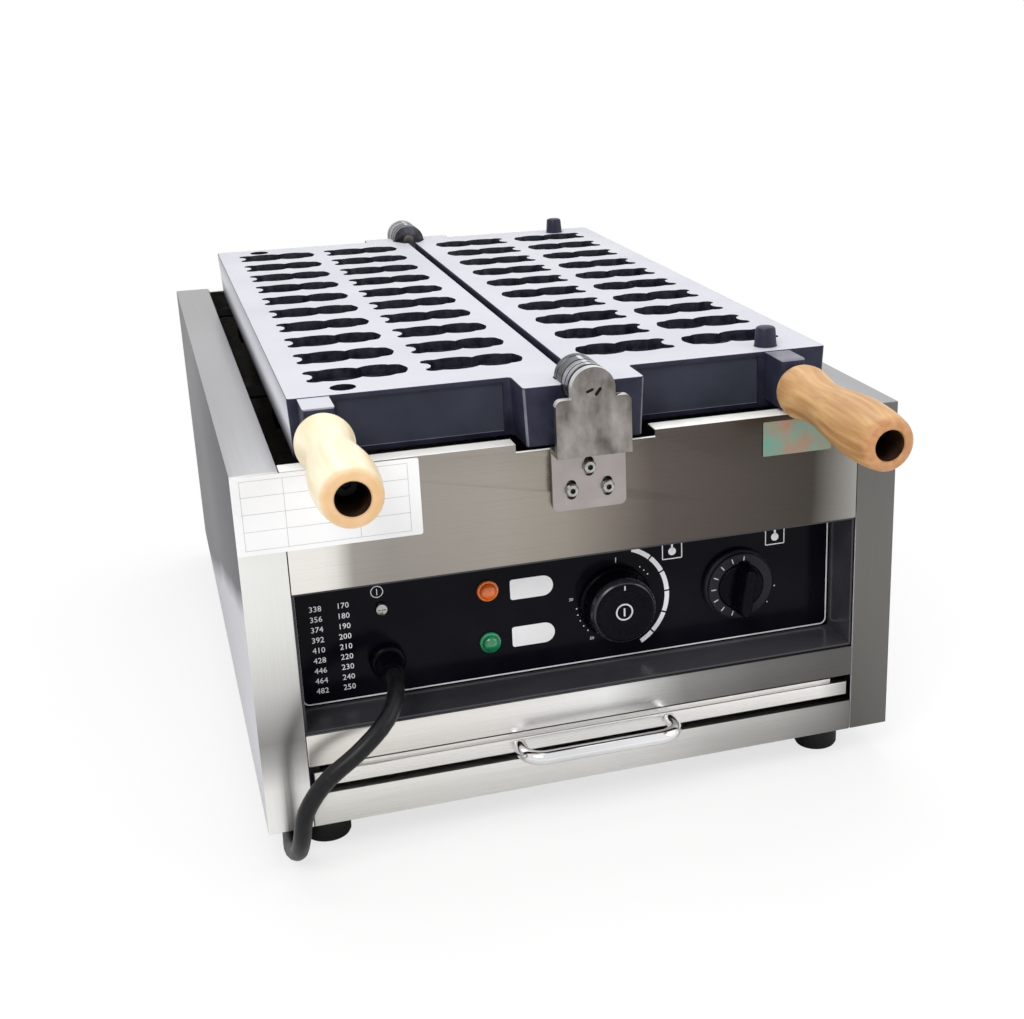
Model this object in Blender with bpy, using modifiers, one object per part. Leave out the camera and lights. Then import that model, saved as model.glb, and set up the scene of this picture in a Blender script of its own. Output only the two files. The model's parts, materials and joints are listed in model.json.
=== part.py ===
"""Bear waffle maker: a countertop iron whose two cast moulds turn over one hinge line.

Metres, +Z up, +X to the right of someone who faces the controls, +Y to the rear. The origin
lies on the table, under the middle of the appliance without its cord.
"""
import math

import bmesh
import bpy
from mathutils import Matrix, Vector

# Casing
CASE_WIDTH = 0.375
CASE_DEPTH = 0.516
CASE_HEIGHT = 0.2057
FOOT_HEIGHT = 0.020
SHEET = 0.0015
EDGE_FLANGE = 0.0247
INNER_FLANGE = 0.012
RAIL_HEIGHT = 0.0195
TRAY_SLOT = 0.0172
LOWER_PLATE_HEIGHT = 0.0189
PANEL_OPENING = 0.0822
NOTCH_HALF_WIDTH = 0.039
NOTCH_DEPTH = 0.0042
FIT = 0.0003
OVERRUN = 0.002
MERGE = 0.00001

# Feet
FOOT_RADIUS = 0.0140
FOOT_BASE_RADIUS = 0.0130
FOOT_INSET_X = 0.0345
FOOT_INSET_Y = 0.028
FOOT_RECESS_RADIUS = 0.0080
FOOT_RECESS = 0.0060
FOOT_STUD_RADIUS = 0.0030
FOOT_STUD_PROUD = 0.0060

# Hinge line
HINGE_RISE = 0.0300
LAND_GAP = 0.00015
RING_RADIUS = 0.0121
RELIEF_CLEARANCE = 0.0006
SHAFT_RADIUS = 0.0045
PLATE_STAND_OFF = 0.0110
BEARING_PLATE = 0.0050
BRACKET_SHEET = 0.0030
BRACKET_HALF_WIDTH = 0.0208
BRACKET_TOP_DROP = 0.0044
BRACKET_LEDGE_DROP = 0.0062
BRACKET_LEG = 0.0333
BRACKET_CORNER = 0.0035
WASHER_LENGTH = 0.0014
WASHER_RADIUS = 0.0114
OUTER_KNUCKLE_IN = 0.0026
RING_PLAY = 0.0004
INNER_KNUCKLE_LENGTH = 0.0094
COLLAR_LENGTH = 0.0050
SLOT_WIDTH = 0.0056
SLOT_LENGTH = 0.0112
SCREW_TOP_DROP = 0.0094
SCREW_ROW_DROP = 0.0123
SCREW_SPREAD = 0.0102
SCREW_RADIUS = 0.0022
SCREW_HEAD_RADIUS = 0.0037
SCREW_HEAD_HEIGHT = 0.0026
SCREW_HEAD_SHARES = ((0.00, 1.00), (0.70, 1.00), (1.00, 0.45))
SCREW_LENGTH = 0.0080

# Moulds
MOULD_INNER = 0.0026
MOULD_SIDE_GAP = 0.0343
MOULD_FRONT = 0.027
MOULD_REAR_GAP = 0.012
MOULD_THICKNESS = 0.033
MOULD_DRAFT = 0.0015
MOULD_CORNER = 0.0030
BOSS_HALF_WIDTH = 0.0340
BOSS_INSET = 0.0005
WALL_PANEL_DEPTH = 0.0020
WALL_PANEL_TOP = 0.0025
WALL_PANEL_LIP = 0.0030
WALL_PANEL_MARGIN = 0.0040
BACK_WALL = 0.0090
BACK_RIB = 0.0080
POCKET_DEPTH = 0.0150
POCKET_ROWS = 10
POCKET_COLUMNS = 2

# Cavities
CAVITY_ROWS = 10
CAVITY_END_MARGIN = 0.0260
CAVITY_INNER_MARGIN = 0.0134
CAVITY_OUTER_MARGIN = 0.0147
CAVITY_GAP = 0.0085
CAVITY_HALF_WIDTH = 0.0145
CAVITY_DEPTH = 0.0130
CAVITY_DRAFT = 0.0020
ROW_SHIFT = 0.0025
BEAR_SHARES = (
    (0.08, 0.00), (0.00, 0.50), (0.03, 0.84), (0.16, 0.86), (0.28, 1.00), (0.44, 0.96),
    (0.53, 0.70), (0.62, 0.94), (0.78, 0.96), (0.88, 0.74), (0.97, 0.46), (1.00, 0.00),
)

# Dowels that line the closed moulds up
DOWEL_FROM_SIDE = 0.0314
DOWEL_INSET = 0.0140
DOWEL_RADIUS = 0.0066
DOWEL_TIP_RADIUS = 0.0058
DOWEL_RISE = 0.0112
DOWEL_CHAMFER = 0.0015
DOWEL_SEAT = 0.0100
DOWEL_HOLE_RADIUS = 0.0070
DOWEL_HOLE_DEPTH = 0.0160

# Lugs and handles
LUG_LEFT_FROM_SIDE = 0.0137
LUG_RIGHT_FROM_SIDE = 0.0302
LUG_LEFT_WIDTH = 0.0165
LUG_RIGHT_WIDTH = 0.0150
LUG_FRONT = 0.0038
LUG_CLEARANCE = 0.0020
LUG_DROP = 0.0004
LUG_CHAMFER = 0.0030
LUG_OVERLAP = 0.0060
HANDLE_DROP = 0.0150
HANDLE_REACH = 0.1020
RIGHT_HANDLE_SPLAY = math.radians(3.4)
RIGHT_HANDLE_DROOP = math.radians(3.6)
HANDLE_BALL_RADIUS = 0.0154
HANDLE_GRIP_RADIUS = 0.0165
HANDLE_WAIST_RADIUS = 0.0128
HANDLE_END_RADIUS = 0.0128
HANDLE_EDGE = 0.0018
HANDLE_SEAT_RADIUS = 0.0085
HANDLE_BORE_RADIUS = 0.0045
HANDLE_COUNTERBORE_RADIUS = 0.0084
HANDLE_COUNTERBORE = 0.0300
BALL_SHARE = 0.125
WAIST_SHARE = 0.33
GRIP_SHARE = 0.74
BOLT_RADIUS = 0.0040
BOLT_HEAD_RADIUS = 0.0065
BOLT_HEAD = 0.0055
BOLT_IN_LUG = 0.0180
BOLT_HOLE_DEPTH = 0.0195

# Control recess
PANEL_FACE = 0.0315
OVERLAY = 0.0008
RECESS_SHEET = 0.0012
RECESS_LIP = 0.0020
LAMP_X = 0.0520
LAMP_HIGH = 0.0564
LAMP_LOW = 0.0245
LAMP_FLANGE_RADIUS = 0.0062
LAMP_FLANGE = 0.0016
LAMP_BARREL_RADIUS = 0.0050
LAMP_BARREL_LENGTH = 0.0200
LAMP_LENS_RADIUS = 0.0050
LAMP_DOME = 0.0036
LAMP_DOME_SHARES = ((0.00, 1.00), (0.38, 0.93), (0.71, 0.71), (0.92, 0.38))
KNOB_RISE = 0.0386
TEMP_KNOB_X = 0.0235
TIMER_KNOB_X = 0.1005
KNOB_GAP = 0.0006
KNOB_SKIRT_RADIUS = 0.0220
KNOB_SKIRT = 0.0030
KNOB_BODY_RADIUS = 0.0196
KNOB_HEIGHT = 0.0195
KNOB_EDGE = 0.0012
KNOB_RIM = 0.0040
KNOB_DISH = 0.0015
HUB_RADIUS = 0.0205
HUB_HEIGHT = 0.0030
WING_HALF_WIDTH = 0.0050
WING_HALF_LENGTH = 0.0165
WING_TAPER_SHARE = 0.72
SHAFT_PIN_RADIUS = 0.0030
SHAFT_PIN_IN_KNOB = 0.0120
SHAFT_PIN_INSIDE = 0.0120
THERMOSTAT_RADIUS = 0.0190
THERMOSTAT_LENGTH = 0.0180
BODY_NECK = 0.0060
TIMER_WIDTH = 0.0420
TIMER_HEIGHT = 0.0360
TIMER_LENGTH = 0.0250
BODY_NECK_RADIUS = 0.0070
EARTH_X = 0.1124
EARTH_RISE = 0.0548
GLAND_X = 0.1115
GLAND_RISE = 0.0240
GLAND_FLANGE_RADIUS = 0.0100
GLAND_FLANGE = 0.0070
GLAND_CHAMFER = 0.0014
GLAND_NOSE_RADIUS = 0.0078
GLAND_TIP_RADIUS = 0.0062
GLAND_NOSE = 0.0150
GLAND_STEM_RADIUS = 0.0075
GLAND_STEM = 0.0120
GLAND_NUT_RADIUS = 0.0110
GLAND_NUT = 0.0060
TERMINAL_LENGTH = 0.0560
TERMINAL_DEPTH = 0.0220
TERMINAL_HEIGHT = 0.0180
TERMINAL_BACK = 0.0700
TERMINAL_WELL_RADIUS = 0.0045

# Crumb tray
TRAY_LIP_HEIGHT = 0.0089
TRAY_LIP_THICK = 0.0050
TRAY_LIP_CLEARANCE = 0.0023
TRAY_LIP_DROP = 0.0043
TRAY_LIP_ROUND = 0.0012
TRAY_SIDE_INSET = 0.0375
TRAY_REAR_GAP = 0.0300
TRAY_HEIGHT = 0.0112
TRAY_SHEET = 0.0010
RUNNER_SHELF = 0.0100
RUNNER_GUIDE = 0.0060
RUNNER_INSET = 0.0360
TRAY_SIDE_PLAY = 0.0008
BOW_HALF_SPAN = 0.0453
BOW_REACH = 0.0190
BOW_RADIUS = 0.0040
BOW_CORNER = 0.0120

# Heating
HEATER_RADIUS = 0.0040
HEATER_Z_DROP = 0.0165
HEATER_SIDE_GAP = 0.0170
HEATER_FIRST_RUN = 0.0270
HEATER_FRONT_TURN = 0.1300
HEATER_REAR_GAP = 0.0460
HEATER_COLD_END = 0.0700
HEATER_TAIL = 0.0150
SHIELD_BACK = 0.1050
SHIELD_TOP_RISE = 0.0050
SHIELD_FLOOR_RISE = 0.0030
RAIL_FRONT = 0.1700
RAIL_REAR_INSET = 0.0960
RAIL_WIDTH = 0.0240
RAIL_STEP_CLEARANCE = 0.0072

# Mains cord, plug
CORD_RADIUS = 0.00475
CORD_STEP = 0.0110
LOOP_POINTS = 24
LOOP_RADIUS = 0.0560
LOOP_PITCH = 0.0101
LAYER_TURNS = 1.32
CLIMB_TURNS = 0.5
COIL_CLEARANCE = 0.0450
PLUG_RADIUS = 0.0145
PLUG_LENGTH = 0.0460
PLUG_SHARES = ((0.00, 1.00), (0.86, 1.00), (1.00, 0.93), (1.00, 0.40), (0.80, 0.12))
PLUG_TAIL_LENGTH = 0.0240
PLUG_TAIL_RADIUS = 0.0070
PLUG_TAIL_TIP = 0.0053
PLUG_PIN_RADIUS = 0.0024
PLUG_PIN_LENGTH = 0.0190
PLUG_PIN_SPREAD = 0.0190
CORD_ROUTE = (
    (-0.1119, -0.2155, 0.0990), (-0.1162, -0.2287, 0.0930), (-0.1245, -0.2385, 0.0862),
    (-0.1390, -0.2450, 0.0765), (-0.1570, -0.2460, 0.0635), (-0.1685, -0.2440, 0.0465),
    (-0.1716, -0.2388, 0.0285), (-0.1732, -0.2270, 0.0138), (-0.1752, -0.2095, 0.0060),
    (-0.1740, -0.1870, 0.0049), (-0.1735, -0.1650, 0.0049), (-0.1680, -0.1100, 0.0049),
    (-0.1500, -0.0300, 0.0049), (-0.1280, 0.0600, 0.0049), (-0.1120, 0.1500, 0.0049),
    (-0.1020, 0.2200, 0.0049), (-0.0920, 0.2850, 0.0049), (-0.0865, 0.3400, 0.0049),
)

# Facets of round pieces
ROUND = 20
HANDLE_ROUND = 18
SCREW_ROUND = 12
FINE_ROUND = 24
COARSE_ROUND = 16

# Places worked out from the sizes above
BRACKET_REACH = PLATE_STAND_OFF + BEARING_PLATE
FRONT_Y = (HANDLE_REACH - CASE_DEPTH - BRACKET_REACH) / 2
REAR_Y = FRONT_Y + CASE_DEPTH
HALF_WIDTH = CASE_WIDTH / 2
INNER_HALF = HALF_WIDTH - EDGE_FLANGE - FIT
WALL_INSIDE = HALF_WIDTH - SHEET - FIT
CASE_BOTTOM = FOOT_HEIGHT
CASE_TOP = CASE_BOTTOM + CASE_HEIGHT
RAIL_TOP = CASE_BOTTOM + RAIL_HEIGHT
LOWER_PLATE_BOTTOM = RAIL_TOP + TRAY_SLOT
LOWER_PLATE_TOP = LOWER_PLATE_BOTTOM + LOWER_PLATE_HEIGHT
FASCIA_BOTTOM = LOWER_PLATE_TOP + PANEL_OPENING
HINGE_Z = CASE_TOP + HINGE_RISE
LAND_Z = HINGE_Z - LAND_GAP
MOULD_BOTTOM = LAND_Z - MOULD_THICKNESS
KNOB_Z = LOWER_PLATE_TOP + KNOB_RISE
PANEL_Y = FRONT_Y + PANEL_FACE
RECESS_BACK = PANEL_Y + OVERLAY + FIT + RECESS_SHEET
GLAND_Z = LOWER_PLATE_TOP + GLAND_RISE
TRAY_LIP_TOP = LOWER_PLATE_BOTTOM - TRAY_LIP_DROP
TRAY_LIP_BOTTOM = TRAY_LIP_TOP - TRAY_LIP_HEIGHT
HEATER_Z = MOULD_BOTTOM - HEATER_Z_DROP
SHIELD_TOP = FASCIA_BOTTOM + SHIELD_TOP_RISE
SHIELD_FLOOR = LOWER_PLATE_BOTTOM + SHIELD_FLOOR_RISE
PAN_TOP = CASE_BOTTOM + SHEET + FIT + SHEET
MOULD_OUTER = HALF_WIDTH - MOULD_SIDE_GAP
MOULD_REAR = CASE_DEPTH - MOULD_REAR_GAP
CAVITY_SPAN = MOULD_REAR - MOULD_FRONT - 2 * (CAVITY_END_MARGIN + CAVITY_HALF_WIDTH)
CAVITY_PITCH = CAVITY_SPAN / (CAVITY_ROWS - 1)
CAVITY_MARGINS = CAVITY_INNER_MARGIN + CAVITY_GAP + CAVITY_OUTER_MARGIN
CAVITY_LENGTH = (MOULD_OUTER - MOULD_INNER - CAVITY_MARGINS) / 2
COLUMN_INNER = MOULD_INNER + CAVITY_INNER_MARGIN + CAVITY_LENGTH / 2
COLUMN_OUTER = MOULD_OUTER - CAVITY_OUTER_MARGIN - CAVITY_LENGTH / 2
DOWEL_X = MOULD_OUTER - DOWEL_FROM_SIDE
LUG_LEFT_X = MOULD_OUTER - LUG_LEFT_FROM_SIDE
LUG_RIGHT_X = MOULD_OUTER - LUG_RIGHT_FROM_SIDE
TRAY_HALF_WIDTH = HALF_WIDTH - TRAY_SIDE_INSET
TRAY_BACK = CASE_DEPTH - TRAY_REAR_GAP
RAIL_TIP = MOULD_OUTER - RAIL_STEP_CLEARANCE
RAIL_BACK = CASE_DEPTH - RAIL_REAR_INSET
HEATER_RUN_SPACING = (RAIL_TIP - HEATER_SIDE_GAP - HEATER_FIRST_RUN) / 3
HEATER_BACK_TURN = CASE_DEPTH - HEATER_REAR_GAP
COLLAR_START = OUTER_KNUCKLE_IN + RING_PLAY + INNER_KNUCKLE_LENGTH + RING_PLAY
COIL_X = -0.0300
COIL_Y = REAR_Y + BRACKET_REACH + COIL_CLEARANCE + LOOP_RADIUS + CORD_RADIUS

PARTS = None
CUTTERS = None


def reset_scene():
    """Empty the scene and make the two collections."""
    global PARTS, CUTTERS
    for item in list(bpy.data.objects):
        bpy.data.objects.remove(item, do_unlink=True)
    PARTS = bpy.data.collections.new("bear_waffle_maker")
    CUTTERS = bpy.data.collections.new("cutters")
    bpy.context.scene.collection.children.link(PARTS)
    bpy.context.scene.collection.children.link(CUTTERS)


STEEL = ((0.55, 0.55, 0.54), 0.35, 1.0)
CHROME = ((0.75, 0.75, 0.76), 0.12, 1.0)
BLACK = ((0.015, 0.015, 0.018), 0.35, 0.0)
GLOSS_BLACK = ((0.010, 0.010, 0.013), 0.12, 0.0)
RUBBER = ((0.020, 0.020, 0.020), 0.80, 0.0)
CAST = ((0.055, 0.060, 0.085), 0.45, 0.6)
PALE_WOOD = ((0.72, 0.58, 0.36), 0.55, 0.0)
BROWN_WOOD = ((0.62, 0.36, 0.15), 0.55, 0.0)
ORANGE = ((0.85, 0.22, 0.02), 0.20, 0.0)
GREEN = ((0.02, 0.42, 0.12), 0.20, 0.0)
CERAMIC = ((0.80, 0.78, 0.72), 0.50, 0.0)
HEATER_METAL = ((0.16, 0.15, 0.15), 0.50, 0.8)


def finish(name, look):
    """A plain Principled material for one piece."""
    colour, roughness, metallic = look
    material = bpy.data.materials.new(name + "_finish")
    material.use_nodes = True
    shader = material.node_tree.nodes["Principled BSDF"]
    shader.inputs["Base Color"].default_value = (*colour, 1.0)
    shader.inputs["Roughness"].default_value = roughness
    shader.inputs["Metallic"].default_value = metallic
    return material


def mesh_from(name, bm):
    """A named mesh with its faces turned outwards."""
    bmesh.ops.recalc_face_normals(bm, faces=bm.faces[:])
    mesh = bpy.data.meshes.new(name)
    bm.to_mesh(mesh)
    bm.free()
    return mesh


def add_piece(name, data, look):
    """Link a mesh or curve as one named piece with its own material."""
    piece = bpy.data.objects.new(name, data)
    piece.data.materials.append(finish(name, look))
    PARTS.objects.link(piece)
    return piece


def make(name, bm, look):
    """Turn a bmesh into a named piece, smooth on its round faces."""
    mesh = mesh_from(name, bm)
    mesh.shade_smooth()
    mesh.set_sharp_from_angle(angle=math.radians(35))
    return add_piece(name, mesh, look)


def combine(piece, bm, operation):
    """Add one exact Boolean to a piece; its second shape stays hidden with the cutters."""
    label = operation.lower()
    shape = bpy.data.objects.new(piece.name + "_" + label, mesh_from(piece.name + "_" + label, bm))
    shape.hide_render = True
    shape.display_type = "WIRE"
    CUTTERS.objects.link(shape)
    modifier = piece.modifiers.new(label, "BOOLEAN")
    modifier.operation = operation
    modifier.solver = "EXACT"
    modifier.object = shape


def cut(piece, bm):
    combine(piece, bm, "DIFFERENCE")


def join(piece, bm):
    combine(piece, bm, "UNION")


def hang(name, origin, pieces):
    """Parent pieces, left where they are, to an empty on the axis that they turn or slide on."""
    axis = bpy.data.objects.new(name, None)
    axis.location = origin
    PARTS.objects.link(axis)
    for piece in pieces:
        piece.parent = axis
        piece.matrix_parent_inverse = Matrix.Translation(-Vector(origin))


def add_block(bm, xs, ys, zs):
    """A box between two values on each axis, in any order."""
    low = Vector([min(pair) for pair in (xs, ys, zs)])
    high = Vector([max(pair) for pair in (xs, ys, zs)])
    matrix = Matrix.Translation((low + high) / 2) @ Matrix.Diagonal((*(high - low), 1))
    bmesh.ops.create_cube(bm, size=1, matrix=matrix)


def add_rod(bm, start, end, radius, segments, tip_radius=None):
    """A cylinder, or a cone, from one point to another."""
    start, end = Vector(start), Vector(end)
    along = end - start
    turn = Vector((0, 0, 1)).rotation_difference(along).to_matrix().to_4x4()
    tip = radius if tip_radius is None else tip_radius
    bmesh.ops.create_cone(
        bm, cap_ends=True, segments=segments, radius1=radius, radius2=tip, depth=along.length,
        matrix=Matrix.Translation((start + end) / 2) @ turn)


def add_prism(bm, corners, path):
    """Sweep a flat outline along one straight path; the far outline's vertices come back."""
    face = bm.faces.new([bm.verts.new(corner) for corner in corners])
    grown = bmesh.ops.extrude_face_region(bm, geom=[face])["geom"]
    moved = [item for item in grown if isinstance(item, bmesh.types.BMVert)]
    bmesh.ops.translate(bm, verts=moved, vec=Vector(path))
    return moved


def facing(origin, direction):
    """A placement whose local Z points along a direction."""
    turn = Vector((0, 0, 1)).rotation_difference(Vector(direction)).to_matrix().to_4x4()
    return Matrix.Translation(Vector(origin)) @ turn


def turned(name, profile, steps, place, look):
    """Spin a (radius, height) profile, listed down its outer side, round the local Z axis."""
    mesh = bpy.data.meshes.new(name)
    count = len(profile)
    edges = [(i, i + 1) for i in range(count - 1)]
    if profile[0][0] > 0:
        edges.append((count - 1, 0))
    mesh.from_pydata([(radius, 0, height) for radius, height in profile], edges, [])
    piece = add_piece(name, mesh, look)
    spin = piece.modifiers.new("spin", "SCREW")
    spin.angle = math.tau
    spin.steps = steps
    spin.render_steps = steps
    spin.use_merge_vertices = True
    spin.merge_threshold = MERGE
    spin.use_smooth_shade = True
    piece.matrix_world = place
    return piece


def ring_profile(outer, inner, length):
    """A ring's section: outer side from the top down, then its bore."""
    return [(outer, length), (outer, 0), (inner, 0), (inner, length)]


def tube(name, points, radius, level, look):
    """A round wire along points, with filled ends."""
    curve = bpy.data.curves.new(name, "CURVE")
    curve.dimensions = "3D"
    curve.bevel_depth = radius
    curve.bevel_resolution = level
    curve.use_fill_caps = True
    spline = curve.splines.new("POLY")
    spline.points.add(len(points) - 1)
    for slot, point in zip(spline.points, points):
        slot.co = (*point, 1)
    return add_piece(name, curve, look)


def arc(centre, radius, start, end, steps):
    """Points of a flat arc, as (first axis, second axis) pairs."""
    angles = [start + (end - start) * i / steps for i in range(steps + 1)]
    return [(centre[0] + radius * math.cos(a), centre[1] + radius * math.sin(a)) for a in angles]


def pan(name, xs, ys, zs, open_way, sheet, look):
    """A folded sheet: an open box whose five walls grow inwards by one sheet."""
    bm = bmesh.new()
    add_block(bm, xs, ys, zs)
    bmesh.ops.recalc_face_normals(bm, faces=bm.faces[:])
    lid = [face for face in bm.faces if face.normal.dot(Vector(open_way)) > 0.5]
    bmesh.ops.delete(bm, geom=lid, context="FACES")
    mesh = bpy.data.meshes.new(name)
    bm.to_mesh(mesh)
    bm.free()
    piece = add_piece(name, mesh, look)
    wall = piece.modifiers.new("sheet", "SOLIDIFY")
    wall.thickness = sheet
    wall.offset = -1
    wall.use_even_offset = True
    return piece


def bracket_screw_places():
    """Side and height of the three screws through each bracket's leg."""
    high = CASE_TOP - BRACKET_LEDGE_DROP - SCREW_TOP_DROP
    low = high - SCREW_ROW_DROP
    return [(0, high), (-SCREW_SPREAD, low), (SCREW_SPREAD, low)]


def cut_hinge_panel(piece, face, inward):
    """Clear the moulds' bosses at a panel's top edge and drill its bracket screws."""
    notch = bmesh.new()
    add_block(notch, (-NOTCH_HALF_WIDTH, NOTCH_HALF_WIDTH),
              (face - inward * OVERRUN, face + inward * (INNER_FLANGE + OVERRUN)),
              (CASE_TOP - NOTCH_DEPTH, CASE_TOP + OVERRUN))
    cut(piece, notch)
    holes = bmesh.new()
    for x, z in bracket_screw_places():
        add_rod(holes, (x, face - inward * OVERRUN, z), (x, face + inward * (SHEET + OVERRUN), z),
                SCREW_RADIUS + FIT, COARSE_ROUND)
    cut(piece, holes)


def foot_places():
    """Front left, front right, rear left and rear right."""
    return [(label + "_" + side_label, side * (HALF_WIDTH - FOOT_INSET_X), y)
            for label, y in (("front", FRONT_Y + FOOT_INSET_Y), ("rear", REAR_Y - FOOT_INSET_Y))
            for side_label, side in (("left", -1), ("right", 1))]


def build_casing():
    """Side covers, the three front panels, the rear panel and the base pan."""
    for side, name in ((-1, "side_cover_left"), (1, "side_cover_right")):
        cover = pan(name, (side * HALF_WIDTH, side * (HALF_WIDTH - EDGE_FLANGE)), (FRONT_Y, REAR_Y),
                    (CASE_BOTTOM, CASE_TOP), (-side, 0, 0), SHEET, STEEL)
        cut(cover, foot_stud_holes(CASE_BOTTOM, CASE_BOTTOM + SHEET))
    front = (FRONT_Y, FRONT_Y + INNER_FLANGE)
    width = (-INNER_HALF, INNER_HALF)
    fascia = pan("front_fascia", width, front, (FASCIA_BOTTOM, CASE_TOP), (0, 1, 0), SHEET, STEEL)
    cut_hinge_panel(fascia, FRONT_Y, 1)
    pan("lower_front_plate", width, front, (LOWER_PLATE_BOTTOM, LOWER_PLATE_TOP), (0, 1, 0), SHEET, STEEL)
    pan("bottom_rail", width, front, (CASE_BOTTOM, RAIL_TOP), (0, 1, 0), SHEET, STEEL)
    rear = pan("rear_panel", width, (REAR_Y - INNER_FLANGE, REAR_Y), (CASE_BOTTOM, CASE_TOP),
               (0, -1, 0), SHEET, STEEL)
    cut_hinge_panel(rear, REAR_Y, -1)
    bm = bmesh.new()
    add_block(bm, (-WALL_INSIDE, WALL_INSIDE),
              (FRONT_Y + INNER_FLANGE + FIT, REAR_Y - INNER_FLANGE - FIT), (PAN_TOP - SHEET, PAN_TOP))
    cut(make("base_pan", bm, STEEL), foot_stud_holes(PAN_TOP - SHEET, PAN_TOP))


def foot_stud_holes(low, high):
    """Holes for the feet's studs through one sheet."""
    bm = bmesh.new()
    for _, x, y in foot_places():
        add_rod(bm, (x, y, low - OVERRUN), (x, y, high + OVERRUN), FOOT_STUD_RADIUS + FIT, COARSE_ROUND)
    return bm


def build_feet():
    """Rubber feet, hollow below, each with its moulded-in stud."""
    top = CASE_BOTTOM - FIT
    stud = PAN_TOP + FOOT_STUD_PROUD
    profile = [
        (0, stud), (FOOT_STUD_RADIUS, stud), (FOOT_STUD_RADIUS, top), (FOOT_RADIUS, top),
        (FOOT_BASE_RADIUS, 0), (FOOT_RECESS_RADIUS, 0), (FOOT_RECESS_RADIUS, FOOT_RECESS),
        (0, FOOT_RECESS)]
    for label, x, y in foot_places():
        turned("foot_" + label, profile, COARSE_ROUND, Matrix.Translation((x, y, 0)), RUBBER)


def lamp_places():
    return [("orange", -LAMP_X, LOWER_PLATE_TOP + LAMP_HIGH, ORANGE),
            ("green", -LAMP_X, LOWER_PLATE_TOP + LAMP_LOW, GREEN)]


def panel_holes():
    """Centre and radius of what passes through the panel."""
    holes = [(x, z, LAMP_BARREL_RADIUS) for _, x, z, _ in lamp_places()]
    holes += [(x, KNOB_Z, SHAFT_PIN_RADIUS + FIT) for x in (TEMP_KNOB_X, TIMER_KNOB_X)]
    holes.append((-GLAND_X, GLAND_Z, GLAND_STEM_RADIUS))
    holes.append((-EARTH_X, LOWER_PLATE_TOP + EARTH_RISE, SCREW_RADIUS))
    return holes


def build_recess():
    """The black box that holds the controls, with its overlay in front of its back wall."""
    low, high = LOWER_PLATE_TOP + FIT, FASCIA_BOTTOM - FIT
    recess = pan("control_recess", (-INNER_HALF, INNER_HALF), (FRONT_Y + RECESS_LIP, RECESS_BACK),
                 (low, high), (0, -1, 0), RECESS_SHEET, GLOSS_BLACK)
    edge = RECESS_SHEET + FIT
    bm = bmesh.new()
    add_block(bm, (-INNER_HALF + edge, INNER_HALF - edge), (PANEL_Y, PANEL_Y + OVERLAY),
              (low + edge, high - edge))
    overlay = make("panel_overlay", bm, GLOSS_BLACK)
    for piece in (recess, overlay):
        holes = bmesh.new()
        for x, z, radius in panel_holes():
            add_rod(holes, (x, PANEL_Y - OVERRUN, z), (x, RECESS_BACK + OVERRUN, z), radius + FIT,
                    COARSE_ROUND)
        cut(piece, holes)


def build_lamps():
    """Two pilot lamps: a domed lens on a flange, with a barrel through the panel."""
    profile = [(LAMP_LENS_RADIUS * across, LAMP_FLANGE + LAMP_DOME * up) for across, up in LAMP_DOME_SHARES]
    profile += [
        (LAMP_LENS_RADIUS, LAMP_FLANGE), (LAMP_FLANGE_RADIUS, LAMP_FLANGE), (LAMP_FLANGE_RADIUS, 0),
        (LAMP_BARREL_RADIUS, 0), (LAMP_BARREL_RADIUS, -LAMP_BARREL_LENGTH), (0, -LAMP_BARREL_LENGTH)]
    for name, x, z, look in lamp_places():
        turned("lamp_" + name, profile, COARSE_ROUND, facing((x, PANEL_Y - FIT, z), (0, -1, 0)), look)


def build_temperature_knob():
    """A round knob with a skirt and a dished face, hollow for its shaft."""
    rim = KNOB_BODY_RADIUS - KNOB_EDGE
    profile = [
        (0, KNOB_HEIGHT - KNOB_DISH), (rim - KNOB_RIM, KNOB_HEIGHT - KNOB_DISH),
        (rim - KNOB_EDGE, KNOB_HEIGHT), (rim, KNOB_HEIGHT), (KNOB_BODY_RADIUS, KNOB_HEIGHT - KNOB_EDGE),
        (KNOB_BODY_RADIUS + KNOB_EDGE, KNOB_SKIRT + KNOB_EDGE), (KNOB_SKIRT_RADIUS, KNOB_SKIRT),
        (KNOB_SKIRT_RADIUS, 0), (SHAFT_PIN_RADIUS + FIT, 0),
        (SHAFT_PIN_RADIUS + FIT, SHAFT_PIN_IN_KNOB + FIT), (0, SHAFT_PIN_IN_KNOB + FIT)]
    seat = (TEMP_KNOB_X, PANEL_Y - KNOB_GAP, KNOB_Z)
    return turned("temperature_knob", profile, ROUND, facing(seat, (0, -1, 0)), BLACK)


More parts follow.
